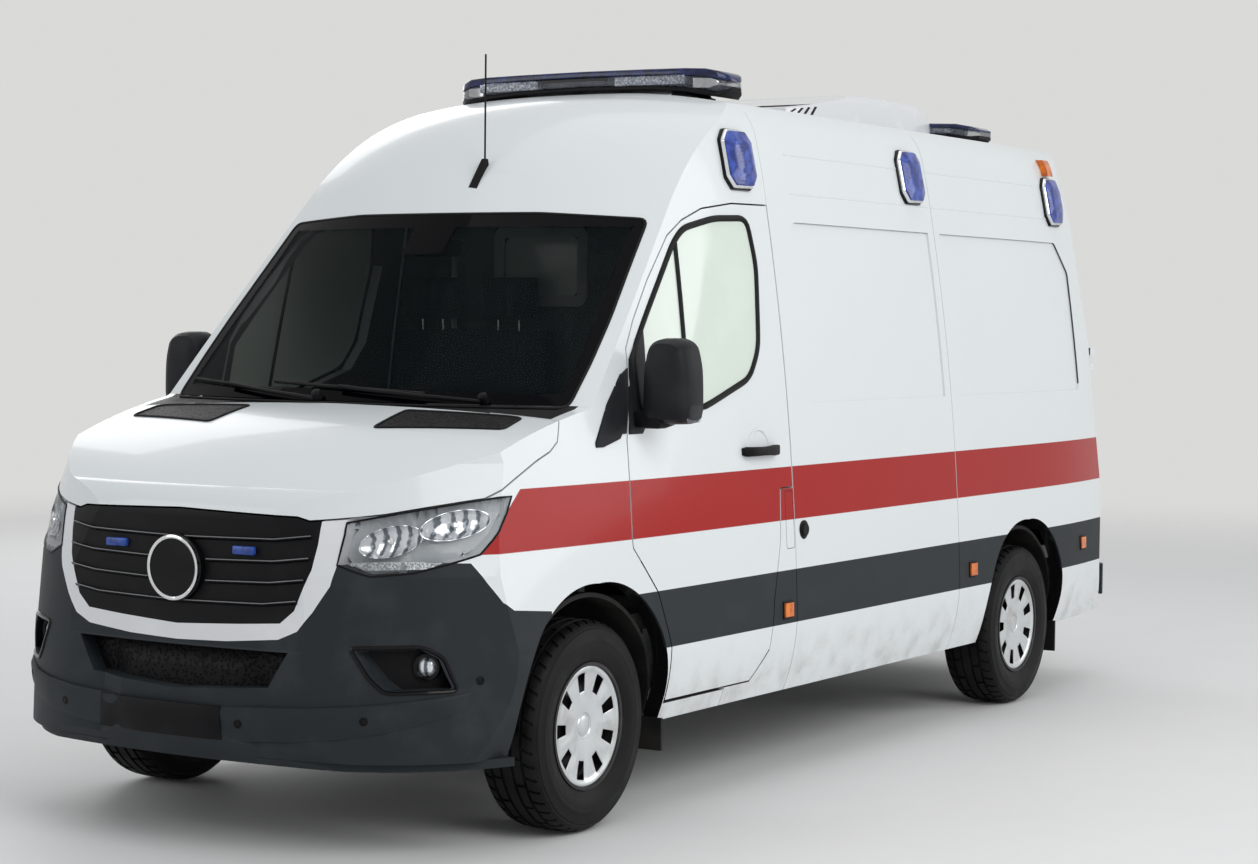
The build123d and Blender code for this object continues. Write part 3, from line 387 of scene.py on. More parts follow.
bumper_grey = finish("bumper_grey", grained((0.022, 0.027, 0.030), (0.032, 0.038, 0.041)))
trim_black = finish("trim_black", grained((0.005, 0.005, 0.006), (0.010, 0.010, 0.011), 0.42))
gloss_black = finish("gloss_black", grained((0.003, 0.003, 0.004), (0.006, 0.006, 0.007),
                                            0.14, 500.0, 0.00004, 0.15))
dressed(bumper_grey, "front_bumper", "rub_strips", "front_door_strip_left",
        "front_door_strip_right", "rear_bumper")
dressed(trim_black, "cowl_panel", "lower_grille", "grille", "antenna")
gloss_white = finish("gloss_white_plastic", grained((0.73, 0.745, 0.76), (0.76, 0.77, 0.785),
                                                    0.18, 700.0, 0.00003, 0.6))
dressed(gloss_white, "grille_frame", "air_conditioner")


# ---- Cab floor, dashboard and bulkhead ----
# Grained mouldings over a steel floor with a rubber mat, and a flat grey-lined wall behind
# the seats.
def rubber_mat(place):
    studs = place.node("TexVoronoi", {"feature": "F1"}, {"Vector": place, "Scale": 55.0})
    round_stud = 1 - rise(studs, 0.25, 0.40)
    bump = place.node("Bump", {}, {"Strength": 0.6, "Distance": 0.0012, "Height": round_stud})
    worn = rise(speckle(place, 4.0, 5.0), 0.4, 0.7)
    return {"Base Color": mixed(worn, (0.10, 0.105, 0.11), (0.16, 0.165, 0.17)),
            "Roughness": 0.6 + worn * 0.15, "Normal": bump}


dressed(finish("rubber_mat", rubber_mat), "floor_pan")
dash_grain = finish("dashboard_grain", grained((0.030, 0.032, 0.036), (0.040, 0.042, 0.046),
                                               0.6, 600.0, 0.0004))
wall_board = finish("wall_board", grained((0.10, 0.115, 0.12), (0.14, 0.155, 0.16), 0.5, 400.0))
dressed(dash_grain, "dashboard", "steering_wheel")
dressed(wall_board, "bulkhead")


# ---- Lamps ----
# Clear or tinted polycarbonate lenses with moulded ribs, over bright bowls in dark housings.
def lens(base, deep, clear, ribs=130.0):
    """Maker of a tinted lens whose ribs and depth show as darker and paler bands."""
    def make(place):
        wave = place.node("TexWave", {"bands_direction": "Z"}, {"Vector": place, "Scale": ribs})
        cells = speckle(place, 25.0, 2.0)
        bump = place.node("Bump", {}, {"Strength": 0.25, "Distance": 0.0006, "Height": wave})
        rim = place.node("Fresnel", {}, {"IOR": 1.5})
        return {"Base Color": mixed(rise(cells, 0.35, 0.65), deep, base),
                "Roughness": 0.06 + wave * 0.06, "Coat Weight": 0.2,
                "Specular IOR Level": 0.3, "Normal": bump,
                "Alpha": rim * 0.4 + (1 - clear)}
    return make


amber_lens = finish("amber_lens", lens((0.85, 0.22, 0.015), (0.55, 0.10, 0.008), 0.0))
red_lens = finish("red_lens", lens((0.42, 0.012, 0.010), (0.16, 0.004, 0.004), 0.0))
blue_lens = finish("blue_lens", lens((0.045, 0.085, 0.42), (0.010, 0.018, 0.10), 0.12))
clear_lens = finish("clear_lens", lens((0.36, 0.38, 0.40), (0.28, 0.30, 0.32), 0.95))
dressed(amber_lens, "marker_lamps")
dressed(red_lens, "tail_lamps")
dressed(blue_lens, "light_bars", "side_beacons")
dressed(clear_lens, "headlamps")
dressed(trim_black, "fog_lamps", "mirror_left", "mirror_right")


# ---- Tyres and wheels ----
# Black tread rubber on steel rims with a silver-lacquered trim.
def tyre_rubber(place):
    film = rise(speckle(place, 14.0, 6.0), 0.40, 0.70)
    grit = speckle(place, 300.0, 2.0)
    bump = place.node("Bump", {}, {"Strength": 0.3, "Distance": 0.0004, "Height": grit})
    return {"Base Color": mixed(film, (0.004, 0.004, 0.0045), (0.011, 0.0105, 0.010)),
            "Roughness": 0.52 + film * 0.18, "Specular IOR Level": 0.16, "Normal": bump}


def silver_lacquer(place):
    flake = speckle(place, 900.0, 2.0)
    dust = rise(speckle(place, 10.0, 5.0), 0.45, 0.75)
    return {"Base Color": mixed(dust, (0.62, 0.65, 0.66), (0.46, 0.46, 0.45)),
            "Roughness": 0.26 + dust * 0.25 + flake * 0.06, "Metallic": 0.55 - dust * 0.3,
            "Coat Weight": 0.4}


rubber = finish("tyre_rubber", tyre_rubber)
silver = finish("silver_lacquer", silver_lacquer)
for end in ("front", "rear"):
    for side in ("left", "right"):
        dressed(rubber, f"tyre_{end}_{side}")
        dressed(silver, f"wheel_{end}_{side}")


# ---- Seats ----
# Foam on a steel frame under a dark woven cloth.
def seat_cloth(place):
    weave = place.node("TexWave", {"bands_direction": "X"}, {"Vector": place, "Scale": 260.0})
    cross = place.node("TexWave", {"bands_direction": "Z"}, {"Vector": place, "Scale": 260.0})
    fuzz = speckle(place, 500.0, 2.0)
    bump = place.node("Bump", {}, {"Strength": 0.5, "Distance": 0.0006,
                                   "Height": weave * cross})
    return {"Base Color": mixed(fuzz, (0.030, 0.033, 0.040), (0.055, 0.06, 0.07)),
            "Roughness": 0.85, "Normal": bump}


cloth = finish("seat_cloth", seat_cloth)
dressed(cloth, "seats")


# ---- Headlamps ----
# A clear outer lens sealed to a grey housing, with two bright bowls and a strip of facets
# along the lower edge. Each lamp is screwed to the front frame.
LOOKS = {"front": Vector((0, 1, 0)), "rear": Vector((0, -1, 0)), "left": Vector((-1, 0, 0)),
         "right": Vector((1, 0, 0)), "top": Vector((0, 0, -1))}
OUTSIDE = 7                # metres from the middle, beyond any part of the vehicle


def seen_at(look, u, v):
    """Point of a view: x and height from front or rear, distance and height from a side, x
    and distance from above."""
    if look in ("front", "rear"):
        return Vector((u, 0, v))
    if look in ("left", "right"):
        return at(0, u, v)
    return at(u, v, 0)


def tree_over(*meshes):
    """Tree for laying details on meshes."""
    places, faces = [], []
    for mesh in meshes:
        first = len(places)
        places.extend(vertex.co.copy() for vertex in mesh.vertices)
        faces.extend([first + i for i in face.vertices] for face in mesh.polygons)
    return BVHTree.FromPolygons(places, faces)


def skin_of(*nodes):
    return tree_over(*(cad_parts[node].data for node in nodes))


def laid(tree, look, spots, proud=0.0):
    """Points of a view on the first face met, proud of it towards the viewer. A point that
    misses takes the depth of the nearest one that doesn't."""
    way = LOOKS[look]
    hits = []
    for u, v in spots:
        spot = seen_at(look, u, v)
        found = tree.ray_cast(spot - way * OUTSIDE, way)[0]
        hits.append((u, v, spot, None if found is None else (found - spot).dot(way)))
    good = [hit for hit in hits if hit[3] is not None]
    places = []
    for u, v, spot, depth in hits:
        if depth is None:
            depth = min(good, key=lambda g: (g[0] - u) ** 2 + (g[1] - v) ** 2)[3]
        places.append(spot + way * (depth - proud))
    return places


def rounded(points, radius, steps=4):
    """Corners of a polygon turned into short arcs."""
    result = []
    for k, corner in enumerate(points):
        corner = Vector(corner)
        before = Vector(points[k - 1]) - corner
        after = Vector(points[(k + 1) % len(points)]) - corner
        reach = min(radius, before.length * 0.45, after.length * 0.45)
        start, end = corner + before.normalized() * reach, corner + after.normalized() * reach
        for i in range(steps + 1):
            t = i / steps
            result.append(tuple(start * (1 - t) ** 2 + corner * 2 * t * (1 - t) + end * t * t))
    return result


def soft_box(a0, a1, b0, b1, radius, steps=3):
    """Rounded rectangle of (a, b) points."""
    return rounded([(a0, b0), (a1, b0), (a1, b1), (a0, b1)], radius, steps)


def wound(points):
    """The polygon with its corners in anticlockwise order."""
    area = sum(a[0] * b[1] - b[0] * a[1] for a, b in zip(points, points[1:] + points[:1]))
    return points if area > 0 else points[::-1]


def alone(obj):
    """Selects one object and makes it the active one."""
    bpy.ops.object.select_all(action="DESELECT")
    obj.select_set(True)
    bpy.context.view_layer.objects.active = obj


def mode(name):
    bpy.ops.object.mode_set(mode=name)


def shaped(obj, **modifiers):
    """Applies modifiers, given as kind=settings, in their order."""
    alone(obj)
    for kind, settings in modifiers.items():
        made = obj.modifiers.new(kind, kind)
        for key, value in settings.items():
            setattr(made, key, value)
        bpy.ops.object.modifier_apply(modifier=made.name)


def kept(obj, material, body="body", angle=35):
    """Finishes a piece: smooth faces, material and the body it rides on."""
    alone(obj)
    if angle:
        bpy.ops.object.shade_smooth_by_angle(angle=math.radians(angle))
    obj.data.materials.clear()
    obj.data.materials.append(material)
    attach(obj, body)
    obj.select_set(False)
    return obj


def outward(obj):
    """Turns every face of a closed piece outwards."""
    alone(obj)
    mode("EDIT")
    bpy.ops.mesh.select_all(action="SELECT")
    bpy.ops.mesh.remove_doubles(threshold=0.00002)
    bpy.ops.mesh.normals_make_consistent(inside=False)
    mode("OBJECT")
    return obj


def picked(obj, test, kind="FACE"):
    """Opens a mesh for editing with the faces, or edges, selected that pass a test."""
    alone(obj)
    mode("EDIT")
    bpy.ops.mesh.select_mode(type=kind)
    bpy.ops.mesh.select_all(action="DESELECT")
    mode("OBJECT")
    for part in obj.data.polygons if kind == "FACE" else obj.data.edges:
        part.select = test(part)
    mode("EDIT")


def removed(obj, test, kind="FACE"):
    """Deletes the faces, or edges, that pass a test."""
    picked(obj, test, kind)
    bpy.ops.mesh.delete(type=kind)
    mode("OBJECT")


def sheet_of(name, outline, cell, ring):
    """A flat grid cut to a convex outline, or with ring only its rim."""
    outline = wound([tuple(p) for p in outline])
    low = Vector((min(p[0] for p in outline), min(p[1] for p in outline)))
    high = Vector((max(p[0] for p in outline), max(p[1] for p in outline)))
    size = high - low
    bpy.ops.object.select_all(action="DESELECT")
    bpy.ops.mesh.primitive_grid_add(x_subdivisions=max(1, round(size.x / cell)),
                                    y_subdivisions=max(1, round(size.y / cell)), size=2)
    obj = bpy.context.object
    obj.name = name
    for vertex in obj.data.vertices:
        x, y, _ = vertex.co
        vertex.co = (low.x + (x + 1) / 2 * size.x, low.y + (y + 1) / 2 * size.y, 0)
    mode("EDIT")
    for a, b in zip(outline, outline[1:] + outline[:1]):
        if abs(b[0] - a[0]) + abs(b[1] - a[1]) > 1e-6:
            bpy.ops.mesh.select_all(action="SELECT")
            bpy.ops.mesh.bisect(plane_co=(a[0], a[1], 0),
                                plane_no=(b[1] - a[1], a[0] - b[0], 0), clear_outer=True)
    if ring:
        bpy.ops.mesh.select_all(action="SELECT")
        bpy.ops.mesh.inset(thickness=ring, use_boundary=True, use_even_offset=True)
        bpy.ops.mesh.delete(type="FACE")
    mode("OBJECT")
    return obj


def facing(obj, look):
    """Turns an open sheet's faces to the viewer."""
    total = sum((face.normal * face.area for face in obj.data.polygons), Vector())
    if total.dot(LOOKS[look]) > 0:
        mode("EDIT")
        bpy.ops.mesh.select_all(action="SELECT")
        bpy.ops.mesh.flip_normals()
        mode("OBJECT")


def plate(name, look, outline, tree, proud=0.002, thick=0.004, cell=0.03, ring=0.0,
          bevel=0.0):
    """A plate, or with ring only its rim, that follows the skin behind a convex outline."""
    obj = sheet_of(name, outline, cell, ring)
    places = laid(tree, look, [(v.co.x, v.co.y) for v in obj.data.vertices], proud)
    for vertex, place in zip(obj.data.vertices, places):
        vertex.co = place
    obj.data.update()
    facing(obj, look)
    shaped(obj, SOLIDIFY={"thickness": thick, "offset": -1})
    if bevel:
        shaped(obj, BEVEL={"width": bevel, "segments": 2, "limit_method": "ANGLE",
                           "angle_limit": math.radians(50)})
    return obj


def bead(name, places, radius, closed=False):
    """A round cord of trim along points, as a mesh."""
    curve = bpy.data.curves.new(name, "CURVE")
    curve.dimensions = "3D"
    curve.bevel_depth = radius
    curve.bevel_resolution = 2
    curve.use_fill_caps = not closed
    spline = curve.splines.new("POLY")
    spline.points.add(len(places) - 1)
    for point, place in zip(spline.points, places):
        point.co = (*place, 1)
    spline.use_cyclic_u = closed
    obj = bpy.data.objects.new(name, curve)
    bpy.context.scene.collection.objects.link(obj)
    alone(obj)
    bpy.ops.object.convert(target="MESH")
    return outward(bpy.context.object)


def along(points, step, closed=False):
    """Points every step along a polyline of a view."""
    ends = points[1:] + points[:1] if closed else points[1:]
    result = []
    for a, b in zip(points, ends):
        count = max(1, round(math.dist(a, b) / step))
        result += [(a[0] + (b[0] - a[0]) * i / count, a[1] + (b[1] - a[1]) * i / count)
                   for i in range(count)]
    return result if closed else result + [tuple(points[-1])]


def mirrored(obj, material, body="body", angle=35):
    """The mirror image of a left-hand piece, with its own mesh, on the right-hand body."""
    twin = obj.copy()
    twin.data = obj.data.copy()
    twin.name = obj.name.replace("left", "right") if "left" in obj.name else f"{obj.name}_right"
    bpy.context.scene.collection.objects.link(twin)
    for vertex in twin.data.vertices:
        vertex.co.x = -vertex.co.x
    twin.data.flip_normals()
    return kept(twin, material, body.replace("left", "right"), angle)


def paired(obj, material, body="body", angle=35):
    """Finishes a left-hand piece and makes its mirror image."""
    kept(obj, material, body, angle)
    mirrored(obj, material, body, angle)


def laid_bead(name, tree, look, points, step, sink, radius, closed=False):
    """A bead along a polyline of a view, its middle sunk into the skin."""
    return bead(name, laid(tree, look, along(points, step, closed), -sink), radius, closed)


def spun(name, profile, centre, axis, steps=48):
    """A closed profile of (radius, height) points turned about an axis through a centre."""
    bpy.ops.object.select_all(action="DESELECT")
    bpy.ops.mesh.primitive_circle_add(vertices=len(profile), fill_type="NOTHING")
    obj = bpy.context.object
    obj.name = name
    for vertex, (radius, height) in zip(obj.data.vertices, profile):
        vertex.co = (radius, 0, height)
    shaped(obj, SCREW={"steps": steps, "render_steps": steps, "axis": "Z",
                       "use_merge_vertices": True, "merge_threshold": 0.00005})
    turn = Vector((0, 0, 1)).rotation_difference(Vector(axis).normalized()).to_matrix()
    for vertex in obj.data.vertices:
        vertex.co = turn @ vertex.co + Vector(centre)
    return outward(obj)


def chrome(place):
    haze = rise(speckle(place, 30.0, 4.0), 0.4, 0.8)
    return {"Base Color": mixed(haze, (0.78, 0.79, 0.80), (0.62, 0.63, 0.64)),
            "Roughness": 0.10 + haze * 0.10, "Metallic": 1.0}


def reflector(place):
    """Bright vacuum-metal with upright facets, and painted reflections in its colour: pale
    streaks over dark bluish patches.
    """
    facets = place.node("TexWave", {"bands_direction": "X"}, {"Vector": place, "Scale": 11.0,
                                                              "Distortion": 1.5})
    steps = place.node("TexVoronoi", {}, {"Vector": place, "Scale": 60.0})
    painted_glint = rise(facets * 0.7 + steps * 0.5, 0.30, 0.62)
    bump = place.node("Bump", {}, {"Strength": 0.6, "Distance": 0.004, "Height": facets})
    # Painted reflections: the colour runs from dark bluish to near white along the facets.
    return {"Base Color": mixed(painted_glint, (0.13, 0.15, 0.18), (0.84, 0.87, 0.90)),
            "Roughness": 0.16, "Metallic": 0.6, "Normal": bump}


def moulded_facets(place):
    cells = place.node("TexVoronoi", {"distance": "CHEBYCHEV"}, {"Vector": place,
                                                                 "Scale": 150.0})
    bump = place.node("Bump", {}, {"Strength": 0.8, "Distance": 0.002, "Height": cells})
    # Colour follows the relief: painted shade in each facet's hollow and a painted highlight on
    # the ridges between.
    return {"Base Color": mixed(rise(cells, 0.2, 0.6), (0.22, 0.24, 0.26), (0.60, 0.63, 0.64)),
            "Roughness": 0.25, "Metallic": 0.4, "Normal": bump}


chrome_metal = finish("bright_chrome", chrome)
# The bowls' metal carries painted reflections in its colour.
painted_glint_metal = finish("lamp_bowl", reflector)
lamp_skin = skin_of("headlamps")


def outer_skin(name, node, keep):
    """Copy of the faces of a CAD node that keep picks."""
    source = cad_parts[node]
    obj = bpy.data.objects.new(name, source.data.copy())
    bpy.context.scene.collection.objects.link(obj)
    obj.data.materials.clear()
    alone(obj)
    mode("EDIT")
    bpy.ops.mesh.select_all(action="SELECT")
    bpy.ops.mesh.remove_doubles(threshold=0.00002)
    mode("OBJECT")
    removed(obj, lambda face: not keep(face))
    return obj


OUT_OF_LAMP = Vector((0.45, -0.85, 0.15))    # way that the left lamp faces


def shows(face):
    """Whether a face is on the outside of the left headlamp."""
    return (face.center.x > 0 and face.normal.dot(OUT_OF_LAMP) > 0.35
            and face.normal.z < 0.8)


lens_left = outer_skin("headlamp_lens_left", "headlamps", shows)
housing = outer_skin("headlamp_housing_left", "headlamps", shows)
mode("EDIT")
bpy.ops.mesh.select_all(action="SELECT")
bpy.ops.mesh.extrude_region_move(TRANSFORM_OT_translate={"value": (-0.014, 0.031, -0.003)})
mode("OBJECT")
removed(housing, lambda face: lamp_skin.find_nearest(face.center)[3] < 0.002)
for vertex in housing.data.vertices:
    vertex.co += Vector((-0.002, 0.004, 0))
shaped(housing, SOLIDIFY={"thickness": 0.0025, "offset": -1})
shaped(lens_left, SOLIDIFY={"thickness": 0.003, "offset": -1})
housing_grey = finish("lamp_housing", grained((0.50, 0.53, 0.55), (0.60, 0.63, 0.65), 0.30,
                                              40.0, 0.0015, 0.5))
kept(lens_left, clear_lens)
kept(housing, housing_grey)
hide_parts("headlamps")
lens_right = mirrored(lens_left, clear_lens)
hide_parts("headlamps")
mirrored(housing, housing_grey)

BOWLS = [  # x and height of the middle, half width, half height, lean
    (0.712, 1.012, 0.078, 0.046, 0.30), (0.850, 1.062, 0.070, 0.044, 0.30)]
BOWL_PROFILE = [(1.0, 0.0), (1.03, 0.0), (0.99, 0.25), (0.80, 0.62), (0.45, 0.86), (0.0, 0.95),
                (0.0, 0.90), (0.42, 0.81), (0.76, 0.58), (0.96, 0.22)]   # in shares of its size
BOWL_SINK, BOWL_DEPTH, BULB_SINK = 0.006, 0.019, 0.025
BULB_PROFILE = [(0.0, 0.0), (0.008, 0.002), (0.011, 0.010), (0.011, 0.022), (0.006, 0.026),
                (0.0, 0.026)]
for k, (x, z, half, tall, lean) in enumerate(BOWLS):
    front, outer, inner, above, below = laid(lamp_skin, "front", [
        (x, z), (x + half * 0.7, z), (x - half * 0.7, z), (x, z + tall * 0.7),
        (x, z - tall * 0.7)])
    across, upright = (outer - inner) / (half * 1.4), (above - below) / (tall * 1.4)
    ahead = across.cross(upright).normalized()
    bowl = spun(f"headlamp_bowl_{k}", BOWL_PROFILE, (0, 0, 0), (0, 0, 1), 40)
    for vertex in bowl.data.vertices:
        a, b, c = vertex.co
        a, b = a * half, b * tall
        vertex.co = (front - ahead * (BOWL_SINK + c * BOWL_DEPTH)
                     + across * (a * math.cos(lean) - b * math.sin(lean))
                     + upright * (a * math.sin(lean) + b * math.cos(lean)))
    outward(bowl)
    paired(bowl, painted_glint_metal)
    bulb = spun(f"headlamp_bulb_{k}", BULB_PROFILE, front - ahead * BULB_SINK, ahead, 20)
    paired(bulb, chrome_metal)
strip = plate("headlamp_facets_left", "front",
              [(0.600, 0.940), (0.655, 0.922), (0.800, 0.925), (0.855, 0.955), (0.740, 0.950),
               (0.620, 0.957)], lamp_skin, proud=-0.010, thick=0.004, cell=0.012)
facet_strip = finish("lamp_facets", moulded_facets)
paired(strip, facet_strip)
edge = outer_skin("headlamp_gasket_left", "headlamps", shows)
mode("EDIT")
bpy.ops.mesh.select_mode(type="EDGE")
bpy.ops.mesh.select_all(action="DESELECT")
bpy.ops.mesh.select_non_manifold(extend=False, use_wire=False, use_boundary=True,
                                 use_multi_face=False, use_non_contiguous=False,
                                 use_verts=False)
bpy.ops.mesh.select_all(action="INVERT")
bpy.ops.mesh.delete(type="EDGE")
mode("OBJECT")
bpy.ops.object.convert(target="CURVE")
edge = bpy.context.object
edge.data.bevel_depth = 0.0035
edge.data.bevel_resolution = 2
bpy.ops.object.convert(target="MESH")
edge = outward(bpy.context.object)
paired(edge, trim_black)


# ---- Grille ----
# A black moulded grille of four deep slats inside the white frame, with a plain round badge
# and two small blue warning lamps screwed to the slats.
grille_skin = skin_of("grille")
SLATS = [1.005, 0.936, 0.868, 0.800]       # heights
# A pale grey bead along each black slat's upper front edge is a painted highlight.
slat_edge = finish("slat_edge", grained((0.16, 0.165, 0.17), (0.22, 0.225, 0.23), 0.25,
                                        400.0, 0.00003, 0.4))
for k, z in enumerate(SLATS):
    half = 0.496 - max(0.0, 0.90 - z) * 0.35
    for s, name in SIDES:
        inner = 0.120 if k in (1, 2) else 0.004
        spots = along([(s * half, z + 0.020), (s * (half - 0.12), z + 0.006),
                       (s * inner, z)], 0.03)
        front = laid(grille_skin, "front", spots, 0.010)
        depth = [place + Vector((0, 0.030, -0.020)) for place in front]
        bpy.ops.mesh.primitive_grid_add(x_subdivisions=len(spots) - 1, y_subdivisions=1)
        slat = bpy.context.object
        slat.name = f"grille_slat_{k}_{name}"
        for vertex, place in zip(slat.data.vertices, front + depth):
            vertex.co = place
        facing(slat, "front")
        shaped(slat, SOLIDIFY={"thickness": 0.005, "offset": 0},
               BEVEL={"width": 0.001, "segments": 1})
        kept(outward(slat), gloss_black)
        # Painted highlight along the slat's upper front edge.
        rim = bead(f"grille_slat_edge_{k}_{name}", [p + Vector((0, -0.001, 0.002))
                                                     for p in front], 0.0018)
        kept(rim, slat_edge)
badge_front = laid(grille_skin, "front", [(0.0, 0.905)], 0.0)[0]
badge = spun("grille_badge", [(0.0, 0.0), (0.0, 0.030), (0.095, 0.028), (0.108, 0.018),
                              (0.108, 0.0)], badge_front, (0, -1, 0), 64)
kept(badge, gloss_black)
badge_ring = spun("grille_badge_ring", [(0.094, 0.024), (0.094, 0.032), (0.099, 0.035),
                                        (0.105, 0.032), (0.105, 0.020)], badge_front,
                  (0, -1, 0), 64)
kept(badge_ring, chrome_metal)
glow_blue = finish("grille_lamp_blue", lens((0.03, 0.09, 0.42), (0.015, 0.04, 0.20), 0.0))
for s, name in SIDES:
    spot = laid(grille_skin, "front", [(s * 0.265, 0.972)], 0.0)[0]
    bpy.ops.mesh.primitive_cube_add(size=1, location=spot + Vector((0, -0.008, 0)))
    lamp = bpy.context.object
    lamp.name = f"grille_lamp_{name}"
    lamp.scale = (0.085, 0.022, 0.028)
    bpy.ops.object.transform_apply(location=True, rotation=True, scale=True)
    shaped(lamp, BEVEL={"width": 0.006, "segments": 3})
    kept(lamp, glow_blue)


# ---- Bumper details ----
# A moulded lip with a blank plate on it, parking sensors pressed into round holes, and fog
# lamps behind trimmed openings.
bumper_skin = skin_of("front_bumper")


def lofted(name, rings):
    """Skin over rings of points, in order, with flat ends."""
    count = len(rings[0])
    bpy.ops.object.select_all(action="DESELECT")
    bpy.ops.mesh.primitive_grid_add(x_subdivisions=count, y_subdivisions=len(rings) - 1)
    obj = bpy.context.object
    obj.name = name
    for row, ring in enumerate(rings):
        for column in range(count + 1):
            obj.data.vertices[row * (count + 1) + column].co = ring[column % count]
    mode("EDIT")
    bpy.ops.mesh.select_all(action="SELECT")
    bpy.ops.mesh.remove_doubles(threshold=0.00001)
    bpy.ops.mesh.select_all(action="SELECT")
    bpy.ops.mesh.fill_holes(sides=0)
    mode("OBJECT")
    return outward(obj)


BAR_EDGES = [  # x, lower and upper edge, how proud
    (0.0, 0.366, 0.474, 1.0), (0.15, 0.366, 0.476, 1.0), (0.30, 0.368, 0.480, 1.0),
    (0.45, 0.376, 0.487, 1.0), (0.60, 0.392, 0.497, 1.0), (0.72, 0.414, 0.508, 0.9),
    (0.82, 0.442, 0.522, 0.7), (0.88, 0.466, 0.532, 0.45), (0.92, 0.492, 0.540, 0.15)]
BAR_SHAPE = [(0.0, -0.004), (0.02, 0.005), (0.20, 0.011), (0.55, 0.016), (0.82, 0.020),
             (0.93, 0.019), (0.99, 0.012), (1.0, -0.004)]      # share of height, proud
bar_rings = []
for x, low, high, swell in [(-x, a, b, c) for x, a, b, c in reversed(BAR_EDGES[1:])] + BAR_EDGES:
    ahead, behind = laid(bumper_skin, "front", [(x + 0.02, (low + high) / 2),
                                                (x - 0.02, (low + high) / 2)])
    way = (ahead - behind).normalized()
    way = Vector((way.y, -way.x, 0)).normalized()
    spots = laid(bumper_skin, "front", [(x, low + (high - low) * t) for t, _ in BAR_SHAPE])
    ring = [spot + way * (proud if proud < 0 else proud * swell)
            for spot, (_, proud) in zip(spots, BAR_SHAPE)]
    bar_rings.append(ring + [spots[5] - way * 0.006, spots[2] - way * 0.006])
bumper_bar = lofted("bumper_bar", bar_rings)
kept(bumper_bar, bumper_grey)
bar_faces = tree_over(bumper_bar.data)
plate_piece = plate("number_plate_blank", "front", soft_box(-0.31, 0.21, 0.368, 0.478, 0.01, 4),
                    bar_faces, proud=0.007, thick=0.012, cell=0.06, bevel=0.002)
kept(plate_piece, trim_black)
for k, (x, z) in enumerate(((0.935, 0.575), (0.68, 0.455), (0.27, 0.425), (-0.50, 0.430),
                            (-0.80, 0.480))):
    spot = laid(bar_faces if k else bumper_skin, "front", [(x, z), (x + 0.01, z),
                                                           (x, z + 0.01)])
    face = (spot[1] - spot[0]).cross(spot[2] - spot[0]).normalized()
    face = face if face.y < 0 else -face
    sensor = spun(f"parking_sensor_{k}", [(0.0, -0.004), (0.0, 0.0015), (0.009, 0.0015),
                                          (0.0115, 0.0005), (0.0125, 0.0022), (0.0135, 0.002),
                                          (0.0135, -0.004)], spot[0], face, 24)
    kept(sensor, trim_black)
FOG_OPENING = [(0.626, 0.681), (0.812, 0.686), (0.860, 0.653), (0.896, 0.545), (0.728, 0.540),
               (0.688, 0.580)]
fog_rim = laid_bead("fog_recess_rim_left", bumper_skin, "front", rounded(FOG_OPENING, 0.02),
                    0.02, 0.001, 0.007, True)
paired(fog_rim, gloss_black)
FOG_LAMP = at(0.800, 0.290, 0.618)
fog_way = Vector((0.42, -0.91, 0.0)).normalized()
fog_ring = spun("fog_lamp_ring_left", [(0.034, -0.03), (0.030, 0.004), (0.034, 0.010),
                                       (0.042, 0.008), (0.046, -0.03)],
                FOG_LAMP, fog_way, 40)
paired(fog_ring, gloss_black)
# The fog lamp's glass is drawn as bright metal with painted reflections in its colour.
fog_glass = spun("fog_lamp_glass_left", [(0.0, 0.006), (0.012, 0.005), (0.024, 0.001),
                                         (0.031, -0.006), (0.031, -0.020), (0.0, -0.020)],
                 FOG_LAMP, fog_way, 40)
paired(fog_glass, painted_glint_metal)


# ---- Tread and sidewall of the tyres ----
# Vulcanised rubber on four rims: four grooves run round the tread and curved cuts cross its
# shoulders. The sidewalls are plain, with a raised rib.
# Profiles are pairs of radius and offset from the wheel's middle plane, outwards.
TYRE_HALF = [
    (0.2035, 0.0860), (0.2090, 0.0945), (0.2180, 0.1010), (0.2330, 0.1060), (0.2520, 0.1125),
    (0.2740, 0.1168), (0.2790, 0.1162), (0.2830, 0.1174), (0.2900, 0.1172), (0.2940, 0.1158),
    (0.3120, 0.1140), (0.3250, 0.1118), (0.3275, 0.1085), (0.3310, 0.1083), (0.3340, 0.1090),
    (0.3430, 0.1005), (0.3500, 0.0905), (0.3525, 0.0800), (0.3537, 0.0670), (0.3465, 0.0655),
    (0.3465, 0.0565), (0.3545, 0.0550), (0.3552, 0.0280), (0.3475, 0.0265), (0.3475, 0.0175),
    (0.3555, 0.0160)]
TYRE_INNER = [(0.2035, 0.074), (0.240, 0.094), (0.300, 0.104), (0.338, 0.090), (0.343, 0.050)]
CUTS = 180                 # steps round a tyre; every fourth is a cut across the shoulder
CORNERS = [(end, side, distance) for end, distance in (("front", FRONT_AXLE),
                                                       ("rear", REAR_AXLE))
           for side in ("left", "right")]


